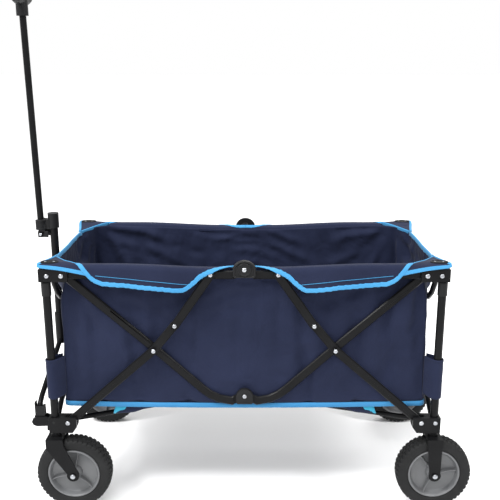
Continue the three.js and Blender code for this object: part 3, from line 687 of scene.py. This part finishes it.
def bag_ripples(rows):
    """Starting unevenness of the cloth, in mm inward: broad wrinkles that the simulation settles."""
    x, y, z = rows[..., 0], rows[..., 1], rows[..., 2]
    height = np.clip((z - 262) / (600 - 262), 0, 1)
    hold = np.sin(np.pi * height) ** 0.8
    along = np.where(np.abs(y) > 190, x, y)
    wave = 3.0 * np.sin(along / 47 + 2.1 * height + np.sin(along / 97) * 1.7)
    wave += 2.0 * np.sin(along / 23 - 4.0 * height + 0.8)
    wave += 2.4 * np.sin(height * 14 + along / 60 + 2 * np.sin(along / 83))
    return wave * hold


def build_bag():
    rows = bag_grid()
    count, columns = rows.shape[:2]
    ripple = bag_ripples(rows)
    side = np.abs(rows[..., 1]) > np.abs(rows[..., 0]) * BAG_HALF_Y / BAG_HALF_X
    for k, panel in ((1, side), (0, ~side)):
        rows[..., k] -= np.where(panel, np.sign(rows[..., k]) * (2.6 + ripple) * (ripple != 0), 0)
    faces = grid_faces(count, columns, closed=True)
    # the middle of the floor is closed by faces from the near columns to the far ones
    half, quarter = columns // 2, columns // 4
    near = [(-quarter + k) % columns for k in range(half + 1)]
    far = [(half + quarter - k) % columns for k in range(half + 1)]
    for k in range(half):
        faces.append(tuple(dict.fromkeys([near[k], near[k + 1], far[k + 1], far[k]])))
    uv = grid_uv(steps_along(rows[-8]), steps_along(rows[:, 0])[:, None])
    bag = make_mesh("bag", rows.reshape(-1, 3), faces, NAVY, uv)
    face_outward(bag)
    pin = np.zeros((count, columns))
    pin[:FLOOR_ROWS + 1] = 1
    pin[FLOOR_ROWS + 1] = 0.5
    pin[-1] = 1
    pin[-2] = 0.9
    past_x, past_y = np.abs(rows[..., 0]) - BAG_HALF_X, np.abs(rows[..., 1]) - BAG_HALF_Y
    corner = (np.abs(past_x) < 14) & (np.abs(past_y) < 14)
    pin[corner] = np.maximum(pin[corner], 0.25)
    moved = drape(bag, pin.reshape(-1), 30, 0.04, 34)
    rows = (moved / MM - np.array([MIDDLE_X / MM, 0, 0])).reshape(count, columns, 3)
    rows = crease(rows)
    # the walls stay inside the side links, and the ends inside the braces
    z = rows[..., 2]
    limit_y = np.where(z < 590, 201.8, 203.0)
    limit_x = np.where(z < 520, 428.5 + 7 * smoothstep((488 - z) / 40), 449.0)
    rows[..., 1] = np.clip(rows[..., 1], -limit_y, limit_y)
    rows[..., 0] = np.clip(rows[..., 0], -limit_x, limit_x)
    bag.data.vertices.foreach_set("co", to_frame(rows.reshape(-1, 3)).astype(np.float32).ravel())
    bag.data.update()
    return bag, rows


def gather(piece):
    """Hangs a piece of the bag on the front top frame, on a mesh of its own; it rides with that end as the wagon
    folds.
    """
    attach(piece, "front_top")
    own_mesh(piece)


def bottom_band(low):
    """Light-blue tape round the bottom edge, on the outside of the cloth, in a darker blue that paints its shade;
    low is the edge's line.
    """
    outward = unit(low * np.array([0.25, 1, 0]))
    outward = unit(np.roll(outward, 1, 0) + outward + np.roll(outward, -1, 0))
    line = low + outward * 1.3
    outward = unit(np.cross(np.roll(line, -1, 0) - np.roll(line, 1, 0), UP))
    profile = np.array([(0.0, -9.0), (0.9, -8.4), (0.9 * 1.3, -2.75), (0.9, 2.9), (0.0, 3.5)])
    rings = np.stack([line + outward * out + np.array([0, 0, z]) for out, z in profile], 1)
    count, columns = rings.shape[:2]
    last = (count - 1) * columns
    faces = grid_faces(count, columns) + [(last + j, last + j + 1, j + 1, j) for j in range(columns - 1)]
    uv = grid_uv(steps_along(line)[:, None], profile[:, 1])
    band = make_mesh("bag_bottom_band", rings.reshape(-1, 3), faces, BLUE_PAINTED_SHADE, uv)
    thicken(band, 0.6)
    return band


def hang_bag():
    bag, grid = build_bag()
    subdivide(bag)
    thicken(bag, 1.2)
    trims = [bottom_band(grid[FLOOR_ROWS])]
    # taped top edge of each end, between the corner flaps
    top, below = grid[-1], grid[-3]
    for end, s in ENDS.items():
        keep = [j for j in range(len(top)) if s * top[j, 0] > 440 and abs(top[j, 1]) < 134]
        keep.sort(key=lambda j: top[j, 1])
        normal = np.tile([s * 1.0, 0, 0.25], (len(keep), 1))
        trims.append(binding(f"end_edge_{end}", top[keep] + UP, below[keep] - top[keep], normal, 10, BLUE, 1.7))
    for piece in [bag] + trims:
        gather(piece)
    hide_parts("bin")


# ---- flaps over the side rails --------------------------------------------------------------
# edge of a flap from the hub to the corner: x, out from the middle plane, z
FLAP_EDGE = [(0, 207, 598.4), (14, 208, 597.8), (28, 210.5, 596.6), (41, 217, 596), (52, 223.5, 594.6),
             (63, 228, 592), (71, 230, 589), (80, 231, 585.8), (96, 231.6, 576), (108, 231.8, 565.5),
             (118, 231.9, 555), (137, 232.4, 543), (170, 233.4, 544.5), (230, 233.8, 551), (290, 233.4, 556.5),
             (320, 232.8, 559), (332, 232.3, 563), (343, 231.6, 571), (354, 231.2, 583), (363, 229.6, 595),
             (370, 226, 602.5), (379, 218, 606)]
FLAP_PHASE = {"front": 0.4, "rear": 2.3, "near": 0.0, "far": 1.1}
# the stitched line on a flap: from x to x, its height at x 137 and its rise
SEAM_START, SEAM_END, SEAM_Z, SEAM_RISE = 121, 333, 562, 0.1017


def over_rail(x):
    """Cloth line over the rail at x, from the bag's wall to the outside: (out, z) pairs."""
    crown = 596.6 + 2.6 * math.exp(-(x / 35) ** 2) + 8.0 * smoothstep((abs(x) - 60) / 230)
    return [(199.9, crown - 15), (200.2, crown - 9), (202.6, crown - 3.2), (206.5, crown - 1.0), (212, crown),
            (221, crown + 0.2), (227.6, crown - 1.8), (230.8, crown - 6.5), (231.2, crown - 14), (231.2, 530.0)]


def cut_at_edge(line, out, z, count):
    """Even points along the line from its start to the place nearest the edge point."""
    line = resample(line, 1.5)
    nearest = int(np.argmin(np.hypot(line[:, 0] - out, line[:, 1] - z)))
    line = line[:max(nearest, 3) + 1]
    steps = np.linspace(0, len(line) - 1, count)
    return np.stack([np.interp(steps, np.arange(len(line)), line[:, k]) for k in range(2)], 1)


def rim_flap(end, side):
    """Cloth folded over a side rail, hanging outside it, with a taped lower edge."""
    sx, sy = ENDS[end], SIDES[side]
    edge = soften(resample(FLAP_EDGE, 4.0), 3)
    phase = FLAP_PHASE[end] + FLAP_PHASE[side]
    rings = []
    for x, out, z in edge:
        column = cut_at_edge(over_rail(x), out, z, 22)
        hang = np.clip((596 - column[:, 1]) / 45, 0, 1) * (column[:, 0] > 229)
        wave = 1.3 * math.sin(x / 27 + phase) + 0.8 * math.sin(x / 11.5 + 2 * phase)
        rings.append([(sx * x, sy * (y + (2.2 + wave) * h), z_here) for (y, z_here), h in zip(column, hang)])
    rings = np.array(rings)
    columns = rings.shape[1]
    lengths = np.linalg.norm(np.diff(rings, axis=1), axis=2).sum(1)
    name = f"rim_flap_{end}_{side}"
    uv = grid_uv(edge[:, :1], lengths[:, None] * np.arange(columns) / (columns - 1))
    flap = cloth(name, rings, uv, 1.1)

    def outward(p):
        """Away from the rail's line."""
        return p - np.stack([p[..., 0], np.full(p.shape[:2], sy * 216.0), np.minimum(p[..., 2], 597)], 2)

    tape = edge_tape(name + "_tape", rings, 9.5, BLUE, 1.3, outward)
    line = []
    for ring in rings:
        x = abs(ring[0, 0])
        if SEAM_START < x < SEAM_END:
            height = SEAM_Z + (x - 137) * SEAM_RISE
            out = np.interp(-height, -ring[6:, 2], np.abs(ring[6:, 1]))
            line.append((ring[0, 0], sy * (out + 0.95), height))
    seam = tube(name + "_seam", line, 0.6, THREAD, 6)
    fasten([flap, tape, seam], f"rails_{end}")


# ---- corner flaps ---------------------------------------------------------------------------
# outer and inner edge of a corner flap, from the end panel to the side flap: x, y, z
CORNER_OUTER = [(447, 130, 598.5), (453, 168, 601.5), (461, 203, 604.5), (465, 222, 606), (461, 231, 606.4),
                (440, 231.8, 605.8), (411, 231.8, 602.8), (384, 231.4, 597.5), (362, 230.2, 592.8),
                (350, 229.2, 589.5)]
CORNER_INNER = [(446, 129, 599), (431, 153, 601), (415, 179, 603), (396, 201, 605.5), (384, 213, 606.6),
                (374, 222.5, 606.6), (369, 226.5, 603), (364, 228.4, 598), (358, 228.6, 591.5)]
CORNER_PLACES = 34
# places along the corner flap's edges that its two tapes cover
OUTER_TAPE, INNER_TAPE = slice(0, 17), slice(0, 28)
# depth of the skirt along the outer edge: share of the edge, mm
SKIRT_SHARES, SKIRT_DEPTHS = (0, 0.3, 0.45, 0.6, 1.0), (3, 5, 6.5, 8.5, 9.5)
PLATE_X, PLATE_Y, PLATE_Z = 437, 213, 608.0


def corner_flap(end, side):
    """Gusset over a corner bracket, from the end edge to the side flap, taped all round."""
    mirror = np.array([ENDS[end], SIDES[side], 1])
    share = np.linspace(0, 1, CORNER_PLACES)

    def even(line):
        line = soften(resample(line, 6.0), 3)
        t = np.linspace(0, 1, len(line))
        return np.stack([np.interp(share, t, line[:, k]) for k in range(3)], 1)

    outer, inner = even(CORNER_OUTER), even(CORNER_INNER)
    across = np.linspace(0, 1, 11)
    rings = outer[:, None] * (1 - across)[None, :, None] + inner[:, None] * across[None, :, None]
    crown = np.sin(math.pi * across)[None] * np.sin(math.pi * share)[:, None]
    width = np.linalg.norm(outer - inner, axis=1)[:, None]
    rings[..., 2] += crown * np.minimum(width * 0.05, 3.0)
    rings[..., 2] += 0.5 * np.sin(rings[..., 0] / 9 + rings[..., 1] / 13) * crown
    rings, outer, inner = rings * mirror, outer * mirror, inner * mirror
    name = f"corner_flap_{end}_{side}"
    flap = cloth(name, rings, rings[..., :2].reshape(-1, 2), 1.2)

    # skirt turned down over the bracket along the outer edge
    outward = unit(np.cross(unit(np.gradient(outer, axis=0)), UP))
    outward *= np.sign(np.sum(outward * (outer - mirror * (400, 190, 0)), axis=1, keepdims=True))
    depths = np.interp(share, SKIRT_SHARES, SKIRT_DEPTHS)
    rows = [outer + outward * (0.6 + 1.2 * t) + UP * 0.5 - np.outer(depths * t, UP) for t in np.linspace(0, 1, 6)]
    rows = np.stack(rows, 1)
    skirt = make_mesh(name + "_skirt", rows.reshape(-1, 3), grid_faces(*rows.shape[:2]), BLUE,
                      grid_uv(rows[..., 0] + rows[..., 1], rows[..., 2]))
    face_outward(skirt)
    thicken(skirt, 1.4)
    subdivide(skirt)

    # flat tape along the end, and tape hanging along the inner edge
    up = np.tile(UP, (CORNER_PLACES, 1))
    away = unit(outer - inner)
    edge = (outer + up * 0.8)[OUTER_TAPE]
    tape = binding(name + "_tape", edge, -away[OUTER_TAPE], up[OUTER_TAPE], 7.5, BLUE, 1.9)
    line, away, up = inner[INNER_TAPE], away[INNER_TAPE], up[INNER_TAPE]
    hang = unit(away * 0.12 - up)
    inward = unit(np.cross(np.gradient(line, axis=0), hang))
    inward *= -np.sign(np.sum(inward * away, axis=1, keepdims=True))
    piping = binding(name + "_piping", line + inward * 1.8 + up * 0.6, hang, inward, 9.0, BLUE, 1.6)
    fasten([flap, skirt, tape, piping], f"{end}_top")
    corner_plate(end, side)


def corner_plate(end, side):
    """Oval plate that holds the corner flap to the bracket: raised ring and two screws."""
    cx, cy = ENDS[end] * PLATE_X, SIDES[side] * PLATE_Y
    sides = 40
    profile = [(1.0, -3.0), (1.0, 1.2), (0.94, 2.8), (0.84, 3.0), (0.77, 1.4), (0.5, 1.2), (0.0, 1.2)]
    points = []
    for share, height in profile:
        for k in range(sides):
            a = 2 * math.pi * k / sides
            points.append((cx + 20.5 * share * math.cos(a), cy + 11.5 * share * math.sin(a), PLATE_Z + height))
    faces = grid_faces(len(profile), sides, closed=True) + [tuple(range(sides))]
    plate = make_mesh(f"corner_plate_{end}_{side}", points, faces, PLASTIC)
    face_outward(plate)
    shade_by_angle(plate, 40)
    fasten([plate], f"{end}_top")
    for k, word in ((-1, "a"), (1, "b")):
        screw = lathe(f"plate_screw_{end}_{side}_{word}", [(2.6, 0.0), (2.6, 0.9), (1.9, 1.5), (0.0, 1.6)], ZINC,
                      (0, 0, 0), 14)
        turn_up(screw, (cx + k * 9.5, cy, PLATE_Z + 1.0))
        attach(screw, f"{end}_top")


def turn_up(obj, place):
    """Turns a piece made about a line along Y so that it points up, then moves it, all in its mesh."""
    for vertex in obj.data.vertices:
        x, y, z = vertex.co
        vertex.co = Vector((x, -z, y)) + Vector(to_frame(place)) - Vector((MIDDLE_X, 0, 0))
    obj.data.update()
    face_outward(obj)


# ---- sleeves round the legs -----------------------------------------------------------------
SLEEVE_RADIUS, SLEEVE_LOW, SLEEVE_HIGH = 13.3, 280.5, 377


def leg_sleeve(end, side):
    """Loop of cloth from the bag's corner round the leg, open above and below."""
    centre = np.array([LEG_X, LEG_Y])
    start, finish = np.array([428.0, 186.0]), np.array([421.0, 198.2])
    round_leg = [centre + SLEEVE_RADIUS * np.array([math.cos(a), math.sin(a)])
                 for a in np.radians(np.linspace(-48, 140, 18))]
    plan = np.array([start, start * 0.5 + round_leg[0] * 0.5 + (1.2, -1.0)] + round_leg +
                    [finish * 0.5 + round_leg[-1] * 0.5 + (-1.0, 1.2), finish])
    plan = resample(soften(resample(plan, 4.0), 2), 3.4)
    away = np.clip((np.linalg.norm(plan - centre, axis=1) - 13) / 22, 0, 1)
    low = SLEEVE_LOW + 1.2 * np.sin(plan[:, 0] / 6)
    high = SLEEVE_HIGH + 1.5 * away
    out = unit(plan - np.array([425, 192]))
    rings = []
    for t in np.linspace(0, 1, 14):
        swell = 0.7 * np.sin(t * 9 + plan[:, 0] / 9) * np.sin(math.pi * t)
        rings.append(np.column_stack([plan + out * swell[:, None].clip(0), low + (high - low) * t]))
    rings = np.stack(rings, 0) * np.array([ENDS[end], SIDES[side], 1])
    length = steps_along(plan)
    name = f"leg_sleeve_{end}_{side}"
    sleeve = cloth(name, rings, grid_uv(length, rings[..., 2]), 1.1)
    edge = rings[-1]
    normal = unit(np.cross(np.gradient(edge, axis=0), UP))
    tape = binding(name + "_tape", edge, np.tile(-UP, (len(edge), 1)), normal, 6.0, NAVY, 0.9)
    fasten([sleeve, tape], f"{end}_top")


# ---- floor pads and the pockets under them ---------------------------------------------------
PAD_HALF_Y, PAD_LOW_Z, PAD_HIGH_Z, PAD_CORNER, PAD_DISH = 184, 251.5, 260.0, 16, 1.6
PAD_COLUMNS, PAD_ROWS = 40, 30
QUILT_STEP = 42.0


def quilted_pad(name, x0, x1):
    """Padded board with rounded corners and edges, quilted by a shallow dish."""
    middle, half = (x0 + x1) / 2, (x1 - x0) / 2
    u, v = np.meshgrid(np.linspace(-1, 1, PAD_COLUMNS), np.linspace(-1, 1, PAD_ROWS), indexing="ij")
    x, y = half * u, PAD_HALF_Y * v
    ex, ey = np.abs(x) - (half - PAD_CORNER), np.abs(y) - (PAD_HALF_Y - PAD_CORNER)
    reach = np.hypot(ex, ey)
    outside = (ex > 0) & (ey > 0) & (reach > PAD_CORNER)
    x = np.where(outside, np.copysign(half - PAD_CORNER + ex * PAD_CORNER / reach, x), x)
    y = np.where(outside, np.copysign(PAD_HALF_Y - PAD_CORNER + ey * PAD_CORNER / reach, y), y)
    rim = np.minimum(np.minimum(half - np.abs(x), PAD_HALF_Y - np.abs(y)) / 8.0, 1)
    round_off = np.sqrt(np.maximum(0.0, 1 - (1 - rim) ** 2))
    stitch = np.minimum(np.abs(np.sin(x / QUILT_STEP)), np.abs(np.sin(y / QUILT_STEP)))
    quilt = PAD_DISH * np.minimum(1, stitch / 0.16)
    centre_z, half_z = (PAD_LOW_Z + PAD_HIGH_Z) / 2, (PAD_HIGH_Z - PAD_LOW_Z) / 2
    top = centre_z + (half_z - PAD_DISH + quilt) * round_off
    low = centre_z - half_z * round_off
    points = np.concatenate([np.stack([middle + x, y, z], -1).reshape(-1, 3) for z in (top, low)])
    n = x.size
    faces = grid_faces(PAD_COLUMNS, PAD_ROWS)
    faces += [tuple(reversed([k + n for k in face])) for face in faces]
    place = np.arange(n).reshape(x.shape)
    line = np.concatenate([place[0], place[1:, -1], place[-1, -2::-1], place[-2:0:-1, 0]]).tolist()
    faces += [(a, b, b + n, a + n) for a, b in zip(line, line[1:] + line[:1])]
    pad = make_mesh(name, points, faces, NAVY, points[:, :2])
    face_outward(pad)
    return pad


def floor_pads():
    for end, s in ENDS.items():
        x0, x1 = sorted((s * 4.0, s * 404.0))
        pad = quilted_pad(f"floor_pad_{end}", x0, x1)
        corners = [(x0 + 5, 179), (x1 - 5, 179), (x1 - 5, -179), (x0 + 5, -179)]
        line = resample(np.array([(x, y, 259.6) for x, y in corners + corners[:1]], float), 6.0)[:-1]
        gather(pad)
        gather(tube(f"floor_pad_{end}_edge", line, 2.2, NAVY, 8, closed=True))


# section of a pocket under the floor: y, z
POCKET_SECTION = [(190, 246.5), (192, 240), (191, 232), (187, 225), (180, 220.5), (171, 220.0), (163, 225),
                  (158, 234), (156, 245.5)]
POCKET_TOP_Z = 246


def base_pocket(end, side):
    """Pocket of folded cloth under the bag, over a base bar, with a teal trim."""
    sx, sy = ENDS[end], SIDES[side]
    xs = np.linspace(192, 306, 26)
    section = curve_through(POCKET_SECTION, 4.0, 2)
    rings = []
    for x in xs:
        depth = 0.06 + 0.94 * smoothstep((x - 186) / 96)
        rings.append([(sx * (x + (POCKET_TOP_Z - z) * 0.35),
                       sy * (BASE_BAR_Y + (y - BASE_BAR_Y) * (0.85 + 0.15 * depth)),
                       POCKET_TOP_Z - (POCKET_TOP_Z - z) * depth + 0.6 * math.sin(x / 7 + z / 9))
                      for y, z in section])
    rings = np.array(rings)
    name = f"base_loop_{end}_{side}"
    pocket = cloth(name, rings, grid_uv(xs[:, None], np.arange(len(section)) * 4.0), 1.2)
    trims = []
    for word, row, width in (("a", rings[0], 6), ("b", rings[-1], 24)):
        normal = unit(row - np.array([row[0][0], sy * BASE_BAR_Y, 236]))
        trims.append(binding(f"{name}_trim_{word}", row, rings[len(xs) // 2] - row, normal, width, TEAL, 0.9))
    fasten([pocket] + trims, f"base_{end}")


# ---- hub housings, screws and rivets ---------------------------------------------------------
def stepped_cover(name, outline, centre, steps, side, body, node):
    """Plastic cover: the outline, drawn in towards its centre by a share at each step outward."""
    outline, centre = np.array(outline), np.array(centre)
    rings = []
    for share, out in steps:
        rings.append([(x, SIDES[side] * out, z) for x, z in centre + (outline - centre) * share])
    cover = ring_solid(name, rings, PLASTIC, sharp=35)
    fasten([cover], body)
    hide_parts(node)


def hub_housing(side):
    """Rounded cover with a raised disc over the top hinge of a side: half round above, straight below."""
    half, radius, low = 26.0, 28.4, 575.8
    first = math.acos(half / radius)
    outline = [(radius * math.cos(a), TOP_HUB_Z - 7.8 + radius * math.sin(a))
               for a in np.linspace(first, math.pi - first, 25)]
    outline += [(-half, low + 5), (-half + 2, low + 1.2), (-half + 6, low), (half - 6, low),
                (half - 2, low + 1.2), (half, low + 5)]
    steps = [(1.0, 221.6), (1.0, 228.6), (0.975, 230.3), (0.93, 231.2), (0.86, 231.5), (0.80, 230.6),
             (0.78, 229.6), (0.62, 229.4)]
    stepped_cover(f"hub_housing_{side}", outline, [0, TOP_HUB_Z - 2], steps, side, "rails_front",
                  f"top_hub_cap_{side}")
    profile = [(15.5, 229.0), (15.5, 231.4), (14.6, 232.4), (12.4, 232.6), (11.6, 231.6), (0, 231.6)]
    disc = lathe(f"hub_disc_{side}", profile, PLASTIC, (0, 0, TOP_HUB_Z), 40, flip=SIDES[side])
    fasten([disc], "rails_front")
    dome_screw(f"hub_screw_{side}", 0, TOP_HUB_Z, 231.4, side, "rails_front", 5.4, 3.0)


def bottom_housing(side):
    """Rounded cover over the bottom hinge of a side, flush below with the links."""
    radius, low = 20.0, 262.3
    outline = [(radius * math.cos(a), BOTTOM_HUB_Z + radius * math.sin(a)) for a in np.linspace(0, math.pi, 21)]
    outline += [(-radius, low + 3), (-radius + 3, low), (radius - 3, low), (radius, low + 3)]
    steps = [(1.0, 211.8), (1.0, 216.0), (0.97, 217.6), (0.9, 218.4), (0.8, 218.4), (0.72, 217.6), (0.5, 217.5)]
    stepped_cover(f"bottom_housing_{side}", outline, [0, BOTTOM_HUB_Z], steps, side, "long_links_front",
                  f"bottom_hub_cap_{side}")
    dome_screw(f"bottom_hub_bolt_{side}", 0, BOTTOM_HUB_Z, 217.4, side, "long_links_front", 5.2, 2.8)


# heads on the outer faces of the side bars: name, x from the middle, z, body, radius, height
SIDE_SCREWS = [
    ("top_bracket_screw", 410, TOP_BRACKET_Z, "{}_top", 5.6, 3.2),
    ("top_bracket_rivet", 442, TOP_BRACKET_Z, "{}_top", 5.2, 3.0),
    ("low_bracket_screw", 416, LOW_BRACKET_Z, "{}_lower", 5.6, 3.2),
    ("low_bracket_rivet", 449, LOW_BRACKET_Z, "{}_lower", 5.2, 3.0),
    ("cross_bolt", 209, 400.5, "bent_links_{}", 5.4, 3.2),
    ("link_bolt", 159, 461, "short_links_{}", 5.2, 3.0),
    ("rail_bolt", 76, 582.5, "short_links_{}", 5.2, 3.0)]


def side_screws():
    for side, sy in SIDES.items():
        for end, sx in ENDS.items():
            for name, x, z, body, radius, height in SIDE_SCREWS:
                if (name, end) != ("low_bracket_rivet", "front"):
                    dome_screw(f"{name}_{end}_{side}", sx * x, z, BAR_FACE, side, body.format(end), radius, height)
        # the front bracket has an open hole where the rear one has a rivet; a thin matte black disc on the
        # bracket's face stands for it as painted shade
        profile = [(3.4, -0.3), (3.4, 0.5 * 0.55), (3.4 * 0.8, 0.5), (0.0, 0.5)]
        hole = lathe(f"low_bracket_hole_front_{side}", profile, RUBBER, (ENDS["front"] * 449, sy * 229.2, 221), 18,
                     flip=sy)
        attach(hole, "front_lower")


# ---- handle details ----------------------------------------------------------------------------
CLIP_X = -510
EAR_OUTLINE = [(-517, 617), (-491, 617), (-491, 633), (-517, 633)]
HINGE_OUT = max(abs(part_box("handle_clip_cap")[0][1]), abs(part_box("handle_clip_cap")[1][1])) / MM


def arc_jaw(name, inner, outer, low, high, reach, edge):
    """Part of a thick ring about the handle's tube, open at the front, over reach degrees to each side."""
    rings = []
    for a in np.radians(np.linspace(-reach, reach, 30)):
        rings.append([(CLIP_X + r * math.cos(a), r * math.sin(a), z)
                      for r, z in ((inner, low), (outer, low), (outer, high), (inner, high))])
    jaw = ring_solid(name, rings, PLASTIC, sharp=35)
    round_edges(jaw, edge, 3)
    fasten([jaw], "handle")


def handle_details():
    arc_jaw("handle_clip_jaw", 9.3, 15.8, 636, 662, 138, 1.2)
    arc_jaw("handle_clip_lip_low", 9.6, 17.2, 636.5, 641, 128, 0.8)
    arc_jaw("handle_clip_lip_high", 9.6, 17.2, 657, 661.5, 128, 0.8)
    for side, s in SIDES.items():
        rings = [[(x, s * out, z) for x, z in EAR_OUTLINE] for out in (9.0, 12.0)]
        ear = ring_solid(f"handle_clip_ear_{side}", rings, PLASTIC, sharp=35)
        round_edges(ear, 1.2, 3)
        fasten([ear], "handle")
        profile = [(3.7, 0), (3.7, 1.0), (2.8, 2.0), (0, 2.3)]
        hinge = lathe(f"handle_hinge_bolt_{side}", profile, ZINC, (CLIP_X, s * HINGE_OUT, 625), 20, flip=s)
        fasten([hinge], "handle")


# ---- floor, light and camera ------------------------------------------------------------------
def place_lamp(name, kind, energy):
    lamp = bpy.data.objects.new(name, bpy.data.lights.new(name, kind))
    lamp.data.energy = energy
    bpy.context.scene.collection.objects.link(lamp)
    return lamp


def area_light(name, place, aim, size, power):
    lamp = place_lamp(name, "AREA", power)
    lamp.data.shape = "RECTANGLE"
    lamp.data.size, lamp.data.size_y = size
    lamp.location = place
    lamp.rotation_euler = (Vector(aim) - Vector(place)).to_track_quat("-Z", "Y").to_euler()


def studio():
    """Pale floor, a soft sky that is white at the horizon, a broad sun and four lamps."""
    mesh = bpy.data.meshes.new("floor")
    mesh.from_pydata([(-40, -40, 0), (40, -40, 0), (40, 40, 0), (-40, 40, 0)], [], [(0, 1, 2, 3)])
    material, tree, shader = new_material("pale_floor")
    set_node(tree, shader, {"Base Color": (0.985, 0.985, 0.985, 1), "Roughness": 0.6})
    link_object(mesh, "floor", material, smooth=False)
    world = bpy.data.worlds.new("studio")
    world.use_nodes = True
    # the sky is dimmer overhead, where the sun lamp takes over
    tree = world.node_tree
    ray = tree.nodes.new("ShaderNodeTexCoord").outputs["Generated"]
    height = add_node(tree, "ShaderNodeSeparateXYZ", Vector=ray).outputs["Z"]
    dim = add_node(tree, "ShaderNodeMapRange", Value=height,
                   **{"From Min": 0.1, "From Max": 0.35, "To Min": 1.0, "To Max": 0.62})
    set_node(tree, tree.nodes["Background"], {"Color": (1, 1, 1, 1), "Strength": dim.outputs["Result"]})
    bpy.context.scene.world = world
    bpy.context.scene.view_settings.view_transform = "Standard"
    sun = place_lamp("sun", "SUN", 2.1)
    sun.data.angle = math.radians(50)
    sun.rotation_euler = (math.radians(36), 0, math.radians(-14))
    area_light("key", (-1.9, -1.6, 3.0), (0, 0, 0.4), (0.45, 0.45), 55)
    area_light("side", (2.1, -0.93, 2.8), (0, 0, 0.4), (0.25, 1.6), 62)
    area_light("strip", (-2.1, -0.93, 2.8), (0, 0, 0.4), (0.25, 1.6), 58)
    area_light("back", (0.6, 2.2, 2.8), (0, 0, 0.5), (2.0, 1.0), 40)


def camera():
    data = bpy.data.cameras.new("camera")
    data.lens = 54.0
    data.sensor_width = 36.0
    data.clip_end = 50
    eye = bpy.data.objects.new("camera", data)
    eye.location = (MIDDLE_X + 0.0127, -1.8347, 1.0574)
    eye.rotation_euler = (math.radians(90 - 14.55), 0, 0)
    bpy.context.scene.collection.objects.link(eye)
    bpy.context.scene.camera = eye


dress_frame()
build_wheels()
hang_bag()
for end_name in ENDS:
    for side_name in SIDES:
        rim_flap(end_name, side_name)
        corner_flap(end_name, side_name)
        leg_sleeve(end_name, side_name)
        base_pocket(end_name, side_name)
floor_pads()
for side_name in SIDES:
    hub_housing(side_name)
    bottom_housing(side_name)
side_screws()
handle_details()
studio()
camera()
